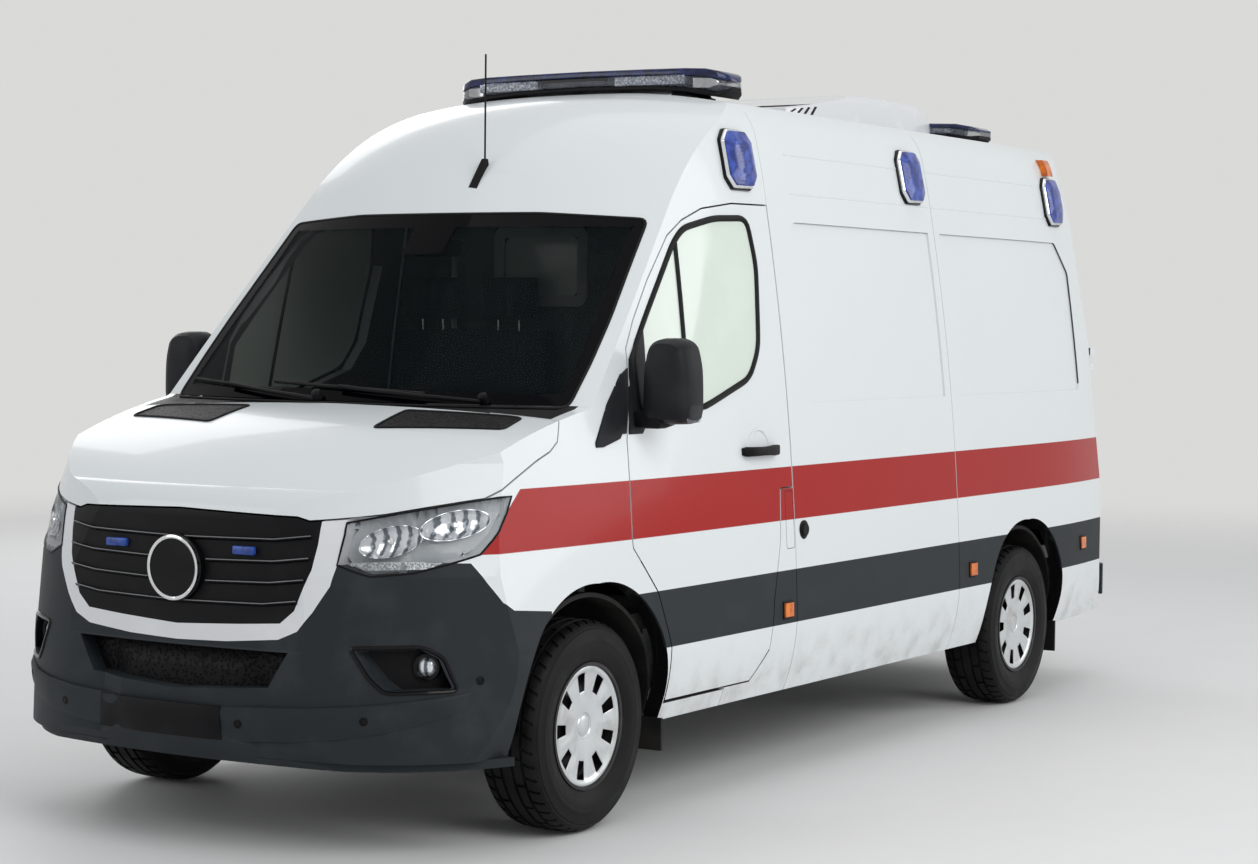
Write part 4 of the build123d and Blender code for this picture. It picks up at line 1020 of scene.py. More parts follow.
def tyre_shape():
    """One tyre about its own middle, its axis along X."""
    outer = TYRE_HALF + [(r, -x) for r, x in reversed(TYRE_HALF)]
    inner = [(r, -x) for r, x in TYRE_INNER] + [(r, x) for r, x in reversed(TYRE_INNER)]
    obj = spun("tyre_shape", outer + inner, (0, 0, 0), (1, 0, 0), CUTS)

    def cut(face):
        c = face.center
        reach = math.hypot(c.y, c.z)
        step = int((math.atan2(c.z, c.y) / math.tau % 1.0) * CUTS)
        side = 0 if c.x > 0 else 2
        shoulder = 0.068 < abs(c.x) < 0.104 and reach > 0.336
        inner_row = 0.028 < abs(c.x) < 0.055 and reach > 0.350
        return (shoulder and (step + side) % 4 == 0) or (
            inner_row and (step + side + 1) % 8 == 0)

    picked(obj, cut)
    bpy.ops.mesh.extrude_region_shrink_fatten(TRANSFORM_OT_shrink_fatten={"value": -0.006})
    mode("OBJECT")
    for vertex in obj.data.vertices:
        swept = max(0.0, abs(vertex.co.x) - 0.055) * 1.2 * (1 if vertex.co.x > 0 else -1)
        vertex.co = Matrix.Rotation(swept, 3, "X") @ vertex.co
    return obj


def wheel_copies(shape, name, material, angle):
    """Copies of a left wheel's piece at the four corners, each with its end and side."""
    for end, side, distance in CORNERS:
        s = 1 if side == "left" else -1
        obj = shape.copy()
        obj.data = shape.data.copy()
        obj.name = f"{name}_{end}_{side}"
        bpy.context.scene.collection.objects.link(obj)
        middle = at(s * TRACK_HALF, distance, TYRE_RADIUS)
        for vertex in obj.data.vertices:
            a, b, c = vertex.co
            vertex.co = middle + Vector((s * a, s * b, c))
        kept(obj, material, f"wheel_{end}_{side}", angle)
        yield obj, end, side


shape = tyre_shape()
for obj, end, side in wheel_copies(shape, "tread", rubber, 28):
    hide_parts(f"tyre_{end}_{side}")
bpy.data.objects.remove(shape)


# ---- Wheel rims and trims ----
# Pressed steel rims, black behind, under clipped plastic trims with nine broad blades and a
# plain domed cap, lacquered silver.
RIM = [(0.2145, 0.104), (0.2145, 0.098), (0.2030, 0.0865), (0.2025, 0.060), (0.2025, -0.086),
       (0.2125, -0.100), (0.2125, -0.106), (0.190, -0.106), (0.188, 0.005), (0.150, 0.030),
       (0.110, 0.045), (0.072, 0.040), (0.072, -0.0245), (0.0, -0.0245), (0.0, 0.055),
       (0.060, 0.062), (0.110, 0.060), (0.150, 0.046), (0.185, 0.022), (0.192, 0.030),
       (0.194, 0.085), (0.204, 0.104)]
TRIM = [(0.0, 0.0865), (0.030, 0.0855), (0.034, 0.0835), (0.037, 0.0800), (0.041, 0.0800),
        (0.044, 0.0845), (0.062, 0.0870), (0.085, 0.0885), (0.104, 0.0885), (0.118, 0.0880),
        (0.135, 0.0885), (0.152, 0.0895), (0.168, 0.0905), (0.180, 0.0920), (0.186, 0.0960),
        (0.196, 0.0990), (0.2015, 0.0975), (0.203, 0.0930)]
BLADES = 9
rim_shape = spun("rim_shape", RIM, (0, 0, 0), (1, 0, 0), 72)
bpy.ops.mesh.primitive_circle_add(vertices=len(TRIM), fill_type="NOTHING")
trim_shape = bpy.context.object
for vertex, (r, x) in zip(trim_shape.data.vertices, TRIM):
    vertex.co = (r, 0, x)
removed(trim_shape, lambda edge: set(edge.vertices) == {0, len(TRIM) - 1}, "EDGE")
shaped(trim_shape, SCREW={"steps": 144, "render_steps": 144, "axis": "Z",
                          "use_merge_vertices": True, "merge_threshold": 0.0001})
turn = Vector((0, 0, 1)).rotation_difference(Vector((1, 0, 0))).to_matrix()
for vertex in trim_shape.data.vertices:
    vertex.co = turn @ vertex.co
trim_shape.data.update()


def round_trim(place):
    """How far a place is from the axle, and its share of the way to the next blade."""
    return (math.hypot(place.y, place.z),
            (math.atan2(place.z, place.y) / math.tau % 1.0) * BLADES % 1.0)


def between_blades(face):
    reach, share = round_trim(face.center)
    wide = 0.30 + (reach - 0.118) * 0.9
    return 0.118 < reach < 0.181 and abs(share - 0.5) < wide / 2 + 0.04


removed(trim_shape, between_blades)
for vertex in trim_shape.data.vertices:
    reach, share = round_trim(vertex.co)
    if 0.084 < reach < 0.183:
        crest = max(0.0, 1 - min(share, 1 - share) / 0.32)
        vertex.co.x += 0.0045 * crest * math.sin((reach - 0.084) / 0.099 * math.pi)
trim_shape.data.update()
if sum(face.normal.x * face.area for face in trim_shape.data.polygons) < 0:
    trim_shape.data.flip_normals()
shaped(trim_shape, SOLIDIFY={"thickness": 0.0035, "offset": -1},
       BEVEL={"width": 0.0012, "segments": 2, "limit_method": "ANGLE",
              "angle_limit": math.radians(55)})
rim_paint = finish("rim_paint", grained((0.020, 0.020, 0.021), (0.05, 0.047, 0.043), 0.4,
                                        300.0, 0.0001, 0.2))
for base, name, paint in ((rim_shape, "rim", rim_paint), (trim_shape, "wheel_trim", silver)):
    for obj, end, side in wheel_copies(base, name, paint, 35):
        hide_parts(f"wheel_{end}_{side}")
    bpy.data.objects.remove(base)


# ---- Light bars ----
# A black base on feet, LED modules behind clear sides, and a dark blue cover that tapers to
# both ends. The small rear bar is made alike.
BAR_SPAN, REAR_BAR_SPAN = (2.450, 2.700), (4.960, 5.200)     # distances of their edges
BAR_ENDS = [  # x, underside, top, how far the front and rear edges are drawn in
    (0.0, 2.613, 2.690, 0.0), (0.30, 2.607, 2.688, 0.0), (0.46, 2.594, 2.686, 0.004),
    (0.545, 2.580, 2.682, 0.015), (0.590, 2.572, 2.672, 0.036), (0.616, 2.586, 2.660, 0.062),
    (0.628, 2.606, 2.646, 0.092)]


def bar_layer(name, low, high, widen=0.0, ends=BAR_ENDS, span=BAR_SPAN):
    """Part of a bar between two shares of its height."""
    front, rear = span
    stations = [(-x, a, b, c) for x, a, b, c in reversed(ends[1:])] + list(ends)
    rings = []
    for x, under, top, drawn in stations:
        z0, z1 = under + (top - under) * low, under + (top - under) * high
        lean = 0.012 * (high - low)
        rings.append([at(x, d, z) for d, z in rounded(
            [(front + drawn - widen, z0), (rear - drawn + widen, z0),
             (rear - drawn - lean + widen, z1), (front + drawn + lean - widen, z1)],
            0.008, 3)])
    return lofted(name, rings)


bar_blue = finish("bar_cover_blue", lens((0.018, 0.030, 0.12), (0.008, 0.012, 0.045), 0.12,
                                         ribs=40.0))
bar_clear = finish("bar_side_clear", lens((0.20, 0.22, 0.26), (0.10, 0.11, 0.14), 0.70,
                                          ribs=90.0))


def led_rows(place):
    """Bright modules of small square cells."""
    cells = place.node("TexVoronoi", {"distance": "CHEBYCHEV"}, {"Vector": place,
                                                                 "Scale": 90.0})
    bump = place.node("Bump", {}, {"Strength": 0.7, "Distance": 0.003, "Height": cells})
    return {"Base Color": mixed(rise(cells, 0.2, 0.5), (0.80, 0.82, 0.86), (0.30, 0.33, 0.40)),
            "Roughness": 0.22, "Metallic": 0.35, "Normal": bump}


led_metal = finish("led_module", led_rows)
base = bar_layer("light_bar_base", 0.0, 0.20, 0.001)
kept(base, trim_black)
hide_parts("light_bars")
kept(bar_layer("light_bar_sides", 0.20, 0.70), bar_clear)
kept(bar_layer("light_bar_cover", 0.70, 1.0), bar_blue)
for k, (x0, x1, paint) in enumerate(((-0.50, -0.22, led_metal), (0.14, 0.46, led_metal),
                                     (-0.20, 0.12, gloss_black))):
    z0, z1 = 2.628 if k == 2 else 2.624, 2.664
    front, rear = (2.4535, 2.6965) if k == 2 else (2.462, 2.688)
    module = lofted(f"light_bar_module_{k}", [
        [at(x, d, z) for d, z in soft_box(front + e, rear - e, z0 + e, z1 - e,
                                                        0.004)]
        for x, e in ((x0, 0.004), (x0 + 0.004, 0.0), (x1 - 0.004, 0.0), (x1, 0.004))])
    kept(module, paint)
for s, name in SIDES:
    tip = lofted(f"light_bar_tip_{name}", [
        [at(s * x, d, z) for d, z in soft_box(2.475 + e, 2.675 - e, 2.600 + e,
                                                            2.655 - e, 0.01)]
        for x, e in ((0.490, 0.0), (0.560, 0.004), (0.585, 0.014), (0.592, 0.02))])
    kept(tip, chrome_metal)
roof_skin = skin_of("roof_panel", "cab_frame")
for s, name in SIDES:
    for k, d in enumerate((2.500, 2.640)):
        deck = laid(roof_skin, "top", [(s * 0.43, d)])[0].z
        foot = lofted(f"light_bar_foot_{k}_{name}", [
            [at(s * 0.43 + a, d + b, z) for a, b in soft_box(
                -half, half, -wide, wide, 0.008)]
            for z, half, wide in ((deck - 0.010, 0.052, 0.036), (deck + 0.004, 0.052, 0.036),
                                  (deck + 0.008, 0.040, 0.026), (2.606, 0.030, 0.020))])
        kept(foot, trim_black)
REAR_ENDS = [(0.0, 2.590, 2.652, 0.0), (0.30, 2.578, 2.647, 0.0), (0.48, 2.560, 2.640, 0.004),
             (0.55, 2.556, 2.626, 0.018), (0.582, 2.570, 2.612, 0.050)]
rear_base = bar_layer("rear_light_bar_base", 0.0, 0.35, 0.001, REAR_ENDS, REAR_BAR_SPAN)
kept(rear_base, trim_black)
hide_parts("light_bars")
for name, low, high, paint in (("sides", 0.35, 0.75, bar_clear), ("cover", 0.75, 1.0, bar_blue)):
    kept(bar_layer(f"rear_light_bar_{name}", low, high, 0, REAR_ENDS, REAR_BAR_SPAN), paint)
rear_module = lofted("rear_light_bar_module", [
    [at(x, d, z) for d, z in soft_box(4.980 + e, 5.180 - e, 2.598 + e,
                                                    2.632 - e, 0.006)]
    for x, e in ((-0.46, 0.02), (-0.45, 0.0), (0.45, 0.0), (0.46, 0.02))])
kept(rear_module, led_metal)


# ---- Side beacons and marker lamps ----
# Eight-sided lamps screwed through the cant rail: a black base, a bright bezel and a faceted
# blue lens with ribs. Small amber lamps sit in black holders along the rub strips.
side_skin = skin_of("cab_frame", "side_panel_left", "rear_body", "roof_panel")
BEACONS = [(2.215, 2.308), (3.715, 2.317), (5.310, 2.281)]     # distance and height
EIGHT = [(-0.105, -0.072), (-0.066, -0.1165), (0.066, -0.1165), (0.105, -0.072),
         (0.105, 0.072), (0.066, 0.1165), (-0.066, 0.1165), (-0.105, 0.072)]
beacon_blue = finish("beacon_lens_blue", lens((0.060, 0.110, 0.48), (0.022, 0.040, 0.22), 0.10,
                                              ribs=24.0))
for k, (d, z) in enumerate(BEACONS):
    spots = laid(side_skin, "left", [(d, z), (d - 0.09, z), (d + 0.09, z), (d, z - 0.10),
                                     (d, z + 0.10)])
    middle = (spots[3] + spots[4]) / 2 * 0.5 + spots[0] * 0.5
    along_d = (spots[2] - spots[1]).normalized()
    upward = (spots[4] - spots[3]).normalized()
    outwards = along_d.cross(upward).normalized()
    outwards = outwards if outwards.x > 0 else -outwards

    def beacon_ring(scale, proud):
        return [middle + along_d * a * scale + upward * b * scale + outwards * proud
                for a, b in rounded(EIGHT, 0.008, 2)]

    base = lofted(f"beacon_base_{k}_left", [beacon_ring(1.0, -0.035), beacon_ring(1.0, 0.008),
                                            beacon_ring(0.975, 0.012)])
    bezel = lofted(f"beacon_bezel_{k}_left", [beacon_ring(0.965, -0.01),
                                              beacon_ring(0.955, 0.020),
                                              beacon_ring(0.92, 0.025)])
    glass = lofted(f"beacon_lens_{k}_left", [
        beacon_ring(0.90, 0.015), beacon_ring(0.885, 0.030), beacon_ring(0.56, 0.043),
        beacon_ring(0.50, 0.044)])
    for obj, paint in ((base, gloss_black), (bezel, chrome_metal), (glass, beacon_blue)):
        paired(obj, paint, angle=20)
        if obj is base:
            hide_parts("side_beacons")
    for a in (-0.085, 0.085):
        screw = spun(f"beacon_screw_{k}_{'front' if a < 0 else 'rear'}", [
            (0.0, 0.0), (0.0, 0.003), (0.004, 0.0025), (0.005, 0.0)],
            middle + along_d * a + upward * -0.068 + outwards * 0.012, outwards, 12)
        kept(screw, chrome_metal)
strip_skin = skin_of("rub_strips", "marker_lamps", "side_panel_left", "rear_body",
                     "front_door_strip_left")
for k, (d, z) in enumerate([(2.325, 0.632), (4.040, 0.655), (5.374, 0.680)]):
    holder = plate(f"marker_holder_{k}_left", "left",
                   soft_box(d - 0.040, d + 0.040, z - 0.034, z + 0.034, 0.016, 4), strip_skin,
                   proud=0.004, thick=0.006, cell=0.08, ring=0.007, bevel=0.001)
    paired(holder, trim_black)


# ---- Door mirrors ----
# Black moulded housings on short arms, with a clear turn lamp on the outer corner, glass on
# the back, and a black triangle that covers the arm's foot.
MIRROR_MIDDLE = 1.065, 1.340, 1.500         # x, distance, height
MIRROR_OUTLINE = [(-0.092, -0.148), (0.093, -0.140), (0.094, -0.040), (0.090, 0.055),
                  (0.070, 0.130), (0.030, 0.150), (-0.040, 0.150), (-0.074, 0.126),
                  (-0.090, 0.050), (-0.094, -0.060)]


def mirror_ring(depth, scale_x, scale_z):
    """The housing's outline at a depth behind its middle."""
    x, distance, height = MIRROR_MIDDLE
    return [at(x + a * scale_x, distance + depth, height + b * scale_z)
            for a, b in rounded(MIRROR_OUTLINE, 0.05, 3)]


mirror_black = finish("mirror_black", grained((0.015, 0.016, 0.018), (0.024, 0.025, 0.027),
                                              0.42))
shell = lofted("mirror_housing_left", [
    mirror_ring(0.052, 0.90, 0.93), mirror_ring(0.064, 0.97, 0.98), mirror_ring(0.056, 1.0, 1.0),
    mirror_ring(0.010, 1.0, 1.0), mirror_ring(-0.030, 0.96, 0.965),
    mirror_ring(-0.052, 0.84, 0.88), mirror_ring(-0.064, 0.60, 0.70),
    mirror_ring(-0.067, 0.30, 0.35)])
kept(shell, mirror_black, "front_door_left")
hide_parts("mirror_left")
twin = mirrored(shell, mirror_black, "front_door_left")
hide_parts("mirror_right")
glass = lofted("mirror_glass_left", [mirror_ring(0.053, 0.86, 0.90),
                                     mirror_ring(0.0575, 0.85, 0.89),
                                     mirror_ring(0.058, 0.82, 0.86)])
paired(glass, chrome_metal, "front_door_left")
mirror_x, mirror_distance, _ = MIRROR_MIDDLE
lamp = lofted("mirror_turn_lamp_left", [
    [at(mirror_x + x, mirror_distance + y, z)
     for y, z in soft_box(-0.030, 0.045, z0, z1, 0.012)]
    for x, z0, z1 in ((0.080, 1.365, 1.425), (0.0935, 1.365, 1.425), (0.0965, 1.372, 1.418))])
paired(lamp, clear_lens, "front_door_left")
arm_rings = [
    [at(x, 1.322 + a, 1.372 + b) for a, b in soft_box(-wide, wide, -tall, tall, 0.012)]
    for x, wide, tall in ((0.935, 0.034, 0.026), (0.965, 0.032, 0.028), (0.985, 0.036, 0.030),
                          (1.040, 0.038, 0.030), (1.052, 0.034, 0.026))]
arm = lofted("mirror_arm_left", arm_rings)
paired(arm, trim_black, "front_door_left")
flank = skin_of("front_door_left", "front_door_glass_left", "cab_frame", "front_fenders")
# Corners are distance and height.
TRIANGLES = [
    ("mirror_foot", "front_door_left", [
        (1.258, 1.322), (1.357, 1.322), (1.392, 1.437), (1.413, 1.600), (1.424, 1.705),
        (1.312, 1.577)]),
    ("pillar_foot", "body", [
        (1.052, 1.297), (1.062, 1.286), (1.092, 1.283), (1.238, 1.318), (1.276, 1.440),
        (1.294, 1.545), (1.295, 1.574), (1.145, 1.427)])]
for name, body, outline in TRIANGLES:
    foot = plate(f"{name}_left", "left", rounded(outline, 0.012), flank, proud=0.007,
                 thick=0.009, cell=0.04, bevel=0.0025)
    paired(foot, mirror_black, body)


# ---- Door window seals, handles and power socket ----
# Extruded black rubber round each cab door window with an upright bar behind the quarter
# light, and pull handles that stand over shallow cups.
# The window's corners: distance and height.
WINDOW = [(1.700, 1.985), (1.780, 2.040), (2.000, 2.083), (2.230, 2.092), (2.256, 1.916),
          (2.205, 1.607), (2.120, 1.500), (1.813, 1.412), (1.500, 1.345), (1.335, 1.400),
          (1.345, 1.600), (1.455, 1.725)]
seal_rubber = finish("seal_rubber", grained((0.010, 0.010, 0.011), (0.02, 0.02, 0.02), 0.5,
                                            300.0, 0.0001))
door_skin = skin_of("front_door_left", "front_door_glass_left")
seal = laid_bead("window_seal_left", door_skin, "left", rounded(WINDOW, 0.05), 0.03, 0.003,
                 0.013, True)
paired(seal, seal_rubber, "front_door_left")
bar = laid_bead("quarter_light_bar_left", door_skin, "left",
                [(1.712, 1.995), (1.660, 1.400)], 0.04, 0.002, 0.012)
paired(bar, seal_rubber, "front_door_left")
# The grip's sections: distance, how proud, half height.
GRIP = [(2.018, 0.004, 0.012), (2.030, 0.018, 0.018), (2.075, 0.030, 0.017),
        (2.130, 0.034, 0.016), (2.180, 0.032, 0.017), (2.225, 0.026, 0.020),
        (2.262, 0.018, 0.019), (2.274, 0.004, 0.012)]
grip_spots = laid(door_skin, "left", [(d, 1.234) for d, _, _ in GRIP])
grip = lofted("door_handle_left", [
    [spot + Vector((proud + a, 0, b)) for a, b in soft_box(-0.014, 0.010, -tall, tall, 0.008)]
    for spot, (d, proud, tall) in zip(grip_spots, GRIP)])
paired(grip, trim_black, "front_door_left")
cup = spun("door_handle_cup_left", [(0.074, -0.002), (0.078, 0.0012), (0.082, 0.0012),
                                    (0.086, -0.002)], laid(door_skin, "left",
                                                           [(2.150, 1.232)])[0],
           Vector((0.998, 0, 0.06)), 48)
paired(cup, white_coach, "front_door_left")
socket = laid(side_skin, "left", [(2.471, 0.923)])[0]
plug = spun("power_socket", [(0.0, 0.0), (0.0, 0.012), (0.022, 0.012), (0.026, 0.008),
                             (0.028, 0.003), (0.036, 0.002), (0.036, -0.003)], socket,
            (1, 0, 0), 32)
kept(plug, trim_black)
flap = laid_bead("filler_flap_line", side_skin, "left",
                 soft_box(2.330, 2.392, 0.860, 1.075, 0.012, 4), 0.02, 0.0015, 0.002, True)
kept(flap, seal_rubber)


# ---- Bonnet vents and wipers ----
# Black moulded grilles pushed into the bonnet's rear corners, the same mesh in the bumper's
# lower intake, and two wiper arms parked along the windscreen's lower edge.
def mesh_grille(place):
    holes = place.node("TexVoronoi", {"feature": "F1"}, {"Vector": place, "Scale": 75.0})
    open_hole = rise(holes, 0.30, 0.45)
    bump = place.node("Bump", {}, {"Strength": 1.0, "Distance": 0.004, "Height": open_hole})
    # The holes are painted darker than the mesh between them: painted shade in the openings.
    return {"Base Color": mixed(open_hole, (0.001, 0.001, 0.001), (0.007, 0.007, 0.008)),
            "Roughness": 0.5, "Specular IOR Level": 0.12, "Normal": bump}


vent_mesh = finish("vent_mesh", mesh_grille)
dressed(vent_mesh, "lower_grille")
bonnet_skin = skin_of("bonnet")
# The vent's corners: x and distance.
VENT = [(0.352, 0.606), (0.797, 0.716), (0.786, 0.840), (0.740, 0.846), (0.338, 0.812)]
vent = plate("bonnet_vent_left", "top", rounded(VENT, 0.02), bonnet_skin, proud=0.0015,
             thick=0.004, cell=0.04)
paired(vent, vent_mesh, "bonnet")
vent_rim = laid_bead("bonnet_vent_rim_left", bonnet_skin, "top", rounded(VENT, 0.02), 0.03,
                     -0.0005, 0.006, True)
paired(vent_rim, trim_black, "bonnet")
screen_skin = skin_of("windscreen", "cowl_panel")
WIPERS = [  # pivot, elbow and tip of an arm, then the two ends of its blade: x and height
    ((0.560, 1.430), (0.300, 1.447), (-0.020, 1.470), (0.330, 1.452), (-0.340, 1.480)),
    ((-0.100, 1.428), (-0.330, 1.446), (-0.560, 1.468), (-0.280, 1.450), (-0.790, 1.478))]
for k, (pivot, elbow, tip, start, end) in enumerate(WIPERS):
    kept(laid_bead(f"wiper_arm_{k}", screen_skin, "front", [pivot, elbow, tip], 0.05, -0.026,
                   0.0075), trim_black)
    kept(laid_bead(f"wiper_blade_{k}", screen_skin, "front", [start, end], 0.05, -0.009,
                   0.0065), seal_rubber)
    hub = spun(f"wiper_hub_{k}", [(0.0, -0.03), (0.0, 0.032), (0.010, 0.032), (0.016, 0.028),
                                  (0.019, 0.020), (0.019, -0.03)],
               laid(screen_skin, "front", [pivot])[0], Vector((0, -0.62, 0.78)), 24)
    kept(hub, trim_black)


# ---- Windscreen seal and side swages ----
# A thin black bonding line shows round the windscreen, and pressed swages run along the
# upper sides, broken at the panel seam.
# The windscreen's corners: x and height.
SCREEN = [(0.850, 1.412), (0.848, 1.560), (0.836, 1.710), (0.808, 1.905), (0.786, 2.068),
          (0.400, 2.090), (-0.400, 2.090), (-0.786, 2.068), (-0.808, 1.905), (-0.836, 1.710),
          (-0.848, 1.560), (-0.850, 1.412)]
whole_front = skin_of("windscreen", "cab_frame", "cowl_panel")
kept(laid_bead("windscreen_seal", whole_front, "front", rounded(SCREEN, 0.03), 0.03, 0.002,
               0.0055, True), seal_rubber)
SEAM = 3.885, 3.915        # distances where the swages stop either side of the panel seam
for k, (z, d0, d1) in enumerate(((2.200, 2.60, 5.30), (2.350, 2.60, 5.20))):
    for panel, look in (("side_panel_left", "left"), ("sliding_door", "right")):
        tree = skin_of(panel, "rear_body")
        for half, (a, b) in enumerate(((d0, SEAM[0]), (SEAM[1], d1))):
            swage = laid_bead(f"side_swage_{k}_{half}_{look}", tree, look, [(a, z), (b, z)],
                              0.08, 0.0035, 0.006)
            kept(swage, white_coach, "body")


# ---- Air conditioner ----
# A white moulded cover over the roof cooler, with dark slots in its sloping front and sides
# and the line of a lid on top.
COOLER = [  # distance, half width, top, corner radius
    (3.370, 0.426, 2.600, 0.008), (3.380, 0.430, 2.605, 0.010), (3.630, 0.430, 2.634, 0.014),
    (3.900, 0.430, 2.680, 0.030), (3.985, 0.430, 2.698, 0.040), (4.081, 0.430, 2.707, 0.045),
    (4.280, 0.430, 2.711, 0.045), (4.471, 0.430, 2.711, 0.045), (4.640, 0.428, 2.707, 0.045),
    (4.735, 0.424, 2.700, 0.045), (4.800, 0.416, 2.683, 0.040), (4.850, 0.404, 2.656, 0.035),
    (4.880, 0.392, 2.622, 0.025), (4.894, 0.380, 2.590, 0.010)]
cooler = lofted("cooler_cover", [
    [at(x, d, z) for x, z in soft_box(-half, half, 2.545, top, radius, 5)]
    for d, half, top, radius in COOLER])
kept(cooler, gloss_white, angle=40)
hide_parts("air_conditioner")
unit_skin = tree_over(cooler.data)
for s, name, look in ((1, "left", "left"), (-1, "right", "right")):
    for k in range(4):
        d = 3.400 + k * 0.062
        slot_plate = plate(f"cooler_slot_{k}_{name}", look, [
            (d, 2.586), (d + 0.022, 2.586), (d + 0.062, 2.602 + k * 0.007),
            (d + 0.040, 2.602 + k * 0.007)], unit_skin, proud=0.0012, thick=0.003, cell=0.05)
        kept(slot_plate, vent_mesh)
    for k in range(4):
        d = 3.405 + k * 0.062
        slot_plate = plate(f"cooler_vent_{k}_{name}", "top", [
            (s * 0.414, d), (s * 0.414, d + 0.026), (s * 0.180, d + 0.026), (s * 0.180, d)],
            unit_skin, proud=0.0012, thick=0.003, cell=0.05)
        kept(slot_plate, vent_mesh)
lid = laid_bead("cooler_lid_line", unit_skin, "top", soft_box(-0.36, 0.36, 4.08, 4.62, 0.06, 4),
                0.04, 0.0015, 0.003, True)
kept(lid, gloss_white, "body")


# ---- Tail: lamps, door furniture and step ----
# Upright red lamps with clear and amber windows on the corner posts, a pull handle on the
# right-hand door, and a ribbed step pad.
tail_skin = skin_of("tail_lamps")
for look in ("left", "right"):
    # The lower, clear window is drawn as bright metal with painted reflections in its colour.
    for k, (z0, z1, paint) in enumerate(((0.975, 1.055, painted_glint_metal),
                                         (1.065, 1.175, amber_lens))):
        window = plate(f"tail_lamp_window_{k}_{look}", look,
                       soft_box(5.752, 5.850, z0, z1, 0.01, 4), tail_skin, proud=0.0015,
                       thick=0.003, cell=0.02)
        kept(window, paint)
rear_skin = skin_of("rear_door_left", "rear_door_right")
handle_spots = laid(rear_skin, "rear", [(0.070, 1.080), (0.070, 1.130), (0.070, 1.180),
                                        (0.070, 1.230), (0.070, 1.280)])
rear_handle = lofted("rear_door_handle", [
    [spot + Vector((a, proud + b, 0)) for a, b in soft_box(-0.014, 0.014, -0.012, 0.010,
                                                           0.006)]
    for spot, proud in zip(handle_spots, (0.004, 0.026, 0.032, 0.026, 0.004))])
kept(rear_handle, trim_black, "rear_door_left")
rear_plate = plate("rear_plate_blank", "rear", soft_box(-0.31, -0.05, 0.800, 0.960, 0.01, 4),
                   rear_skin, proud=0.006, thick=0.008, cell=0.06, bevel=0.0015)
kept(rear_plate, trim_black, "rear_door_right")
REAR_WINDOW = [(0.110, 1.420), (0.640, 1.420), (0.600, 2.080), (0.110, 2.080)]
for s, name in SIDES:
    window = [(s * x, z) for x, z in REAR_WINDOW]
    seal = laid_bead(f"rear_window_seal_{name}", skin_of(
        f"rear_door_{name}", f"rear_door_glass_{name}"), "rear", rounded(window, 0.09), 0.03,
        0.004, 0.010, True)
    kept(seal, seal_rubber, f"rear_door_{name}")
bumper_top = skin_of("rear_bumper")
for k in range(7):
    d0 = 5.908 + k * 0.003
    rib = bead(f"step_rib_{k}", laid(bumper_top, "top", [(-0.70, d0), (0, d0), (0.70, d0)],
                                     0.0), 0.0012)
    kept(rib, trim_black)


# ---- Sliding door furniture ----
# The right side's door runs on a rail below the window line, and has a black pull handle.
right_skin = skin_of("sliding_door", "rear_body")
rail = lofted("sliding_rail", [
    [place + Vector((a, 0, b)) for a, b in soft_box(-0.012, 0.008, -0.014, 0.014, 0.004)]
    for place in laid(right_skin, "right", along([(3.950, 1.330), (5.050, 1.330)], 0.1))])
kept(rail, trim_black)
slide_spots = laid(right_skin, "right", [(2.560, 1.234), (2.580, 1.234), (2.660, 1.234),
                                         (2.740, 1.234), (2.762, 1.234)])
slide_grip = lofted("sliding_door_handle", [
    [spot + Vector((-proud + a, 0, b)) for a, b in soft_box(-0.010, 0.014, -0.022, 0.022,
                                                            0.008)]
    for spot, proud in zip(slide_spots, (0.004, 0.022, 0.032, 0.022, 0.004))])
kept(slide_grip, trim_black)


# ---- Cab seats ----
# Foam pads in woven cloth with raised side bolsters and sewn channels, on moulded plinths:
# one for the driver and a bench for two.
def pad(name, x0, x1, length, thick, places, rows):
    """A crowned pad with bolsters and cross channels. places turns its own coordinates, from
    0 to 1 along its length, into the cab."""
    bpy.ops.object.select_all(action="DESELECT")
    bpy.ops.mesh.primitive_cube_add(size=1)
    obj = bpy.context.object
    obj.name = name
    mode("EDIT")
    bpy.ops.mesh.select_all(action="SELECT")
    bpy.ops.mesh.subdivide(number_cuts=23)
    mode("OBJECT")
    width = x1 - x0
    for vertex in obj.data.vertices:
        u, v, w = vertex.co * 2
        across = abs(u) * width / 2
        edge = width / 2 - across
        crown = (1 - u ** 4) * (1 - v ** 4)
        bolster = 0.018 * math.exp(-((edge - 0.055) / 0.035) ** 2)
        channel = 0.0
        for row in rows:
            channel += 0.007 * math.exp(-((v - row) / 0.035) ** 2)
        channel += 0.008 * math.exp(-((edge - 0.105) / 0.010) ** 2)
        pull = 1 - 0.05 * (w * w) * (u * u + v * v)
        top = thick * (0.72 + 0.28 * crown) + (bolster - channel) * (1 - v ** 6)
        height = top if w > 0.99 else (w + 1) / 2 * thick * (0.72 + 0.28 * crown)
        vertex.co = places((x0 + x1) / 2 + u * width / 2 * pull, (v * pull + 1) / 2 * length,
                           height)
    outward(obj)
    shaped(obj, BEVEL={"width": 0.004, "segments": 2, "limit_method": "ANGLE",
                       "angle_limit": math.radians(60)},
           SUBSURF={"levels": 1, "render_levels": 1})
    return obj


LEAN = math.radians(7.3)


def cushion_place(x, y, z):
    return at(x, 1.835 + y, 0.972 + z + 0.012 * (1 - y / 0.40))


def back_place(x, y, z):
    return at(x, 2.318 + y * math.sin(LEAN) - z * math.cos(LEAN),
              1.050 + y * math.cos(LEAN) + z * math.sin(LEAN))


def head_place(x, y, z):
    return at(x, 2.378 - z, 1.705 + y)


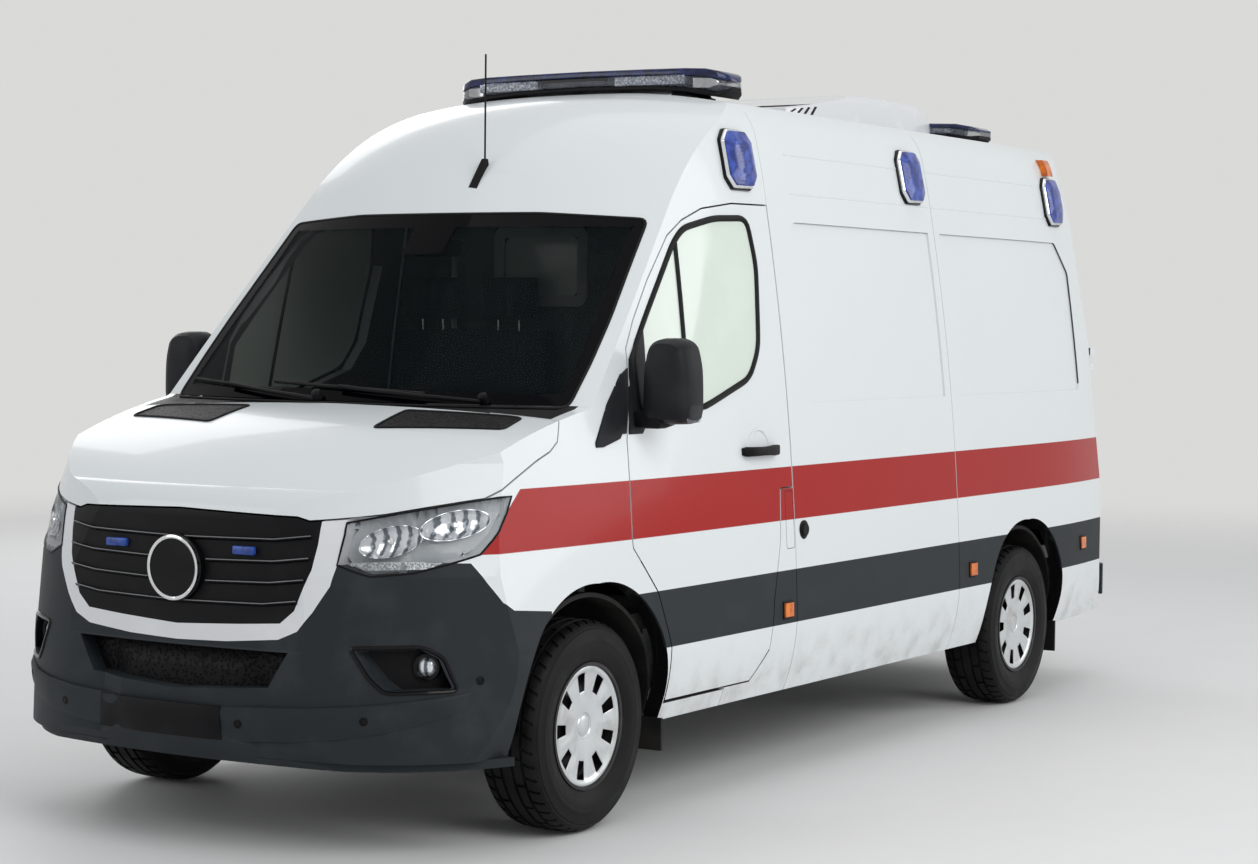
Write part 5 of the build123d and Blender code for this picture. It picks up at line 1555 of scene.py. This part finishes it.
plinth_black = finish("plinth_black", grained((0.016, 0.016, 0.017), (0.03, 0.03, 0.03), 0.5))
for name, x0, x1, heads in (("driver", 0.175, 0.665, [0.420]),
                            ("bench", -0.825, -0.085, [-0.640, -0.270])):
    cushion = pad(f"{name}_cushion", x0, x1, 0.40, 0.105, cushion_place, (-0.35, 0.25))
    back = pad(f"{name}_back", x0, x1, 0.620, 0.085, back_place, (-0.5, -0.1, 0.3))
    for piece in (cushion, back):
        kept(piece, cloth, "body", 60)
        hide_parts("seats")
    for k, x in enumerate(heads):
        head = pad(f"{name}_headrest_{k}", x - 0.125, x + 0.125, 0.170, 0.080, head_place, ())
        kept(head, cloth, "body", 60)
        for s in (-0.05, 0.05):
            post = bead(f"{name}_headrest_post_{k}_{'a' if s < 0 else 'b'}", [
                at(x + s, 2.350, 1.660), at(x + s, 2.345, 1.740)],
                0.006)
            kept(post, chrome_metal)
    plinth = lofted(f"{name}_plinth", [
        [at(a, d, z) for a, d in soft_box(x0 + 0.05 + e, x1 - 0.05 - e,
                                                        1.895 + e, 2.275 - e, 0.04)]
        for z, e in ((0.692, 0.0), (0.830, 0.010), (0.945, 0.0), (0.972, 0.012))])
    kept(plinth, plinth_black)


# ---- Dashboard details, cab mirror and hatch ----
# A hood over the dials, a screen on the middle stack, vents, an inner mirror on a bonded
# stalk, and a glass hatch and a grab handle on the bulkhead.
hood = lofted("dial_hood", [
    [at(0.42 + a, d, z) for a, z in rounded(
        [(-wide, 1.270), (wide, 1.270), (wide * 0.92, top), (-wide * 0.92, top)], 0.03)]
    for d, wide, top in ((1.250, 0.120, 1.330), (1.320, 0.165, 1.362), (1.400, 0.180, 1.368),
                         (1.470, 0.178, 1.350))])
kept(hood, dash_grain)
screen = lofted("centre_screen", [
    [at(-0.02 + a, d, z) for a, z in soft_box(-0.125, 0.125, 1.180, 1.335, 0.01)]
    for d in (1.462, 1.478)])
kept(screen, gloss_black)
for k, x in enumerate((-0.76, -0.24, 0.20, 0.76)):
    nozzle = spun(f"air_vent_{k}", [(0.0, -0.01), (0.0, 0.004), (0.022, 0.006), (0.030, 0.012),
                                    (0.038, 0.012), (0.042, -0.01)],
                  at(x, 1.462, 1.215), (0, 0.98, 0.17), 28)
    kept(nozzle, trim_black)
inner_mirror = lofted("cab_mirror", [
    [at(a * e, d, 1.965 + b * e) for a, b in soft_box(-0.115, 0.115, -0.032,
                                                                    0.032, 0.02)]
    for d, e in ((1.452, 0.6), (1.462, 0.95), (1.480, 1.0), (1.486, 0.96))])
kept(inner_mirror, trim_black)
kept(bead("cab_mirror_stalk", [at(0, 1.455, 1.975),
                               at(0, 1.435, 2.000),
                               at(0, 1.400, 1.972)], 0.007), trim_black)
hatch = plate("bulkhead_hatch_frame", "front", soft_box(-0.385, 0.055, 1.760, 2.080, 0.05, 4),
              skin_of("bulkhead"), proud=0.010, thick=0.010, cell=0.30, ring=0.045,
              bevel=0.002)
kept(hatch, finish("hatch_grey", grained((0.50, 0.52, 0.52), (0.42, 0.44, 0.44), 0.4)))
hatch_pane = lofted("bulkhead_hatch_pane", [
    [at(a, d, z) for a, z in soft_box(-0.350, 0.020, 1.795, 2.045, 0.045)]
    for d in (2.430, 2.436)])
kept(hatch_pane, door_glass)
grab = bead("bulkhead_grab_handle", [at(-0.56, 2.420, 1.62),
                                     at(-0.56, 2.385, 1.63),
                                     at(-0.56, 2.380, 1.70),
                                     at(-0.56, 2.380, 1.92),
                                     at(-0.56, 2.385, 1.98),
                                     at(-0.56, 2.420, 1.99)], 0.012)
kept(grab, finish("grab_grey", grained((0.55, 0.57, 0.58), (0.45, 0.47, 0.48), 0.4)))
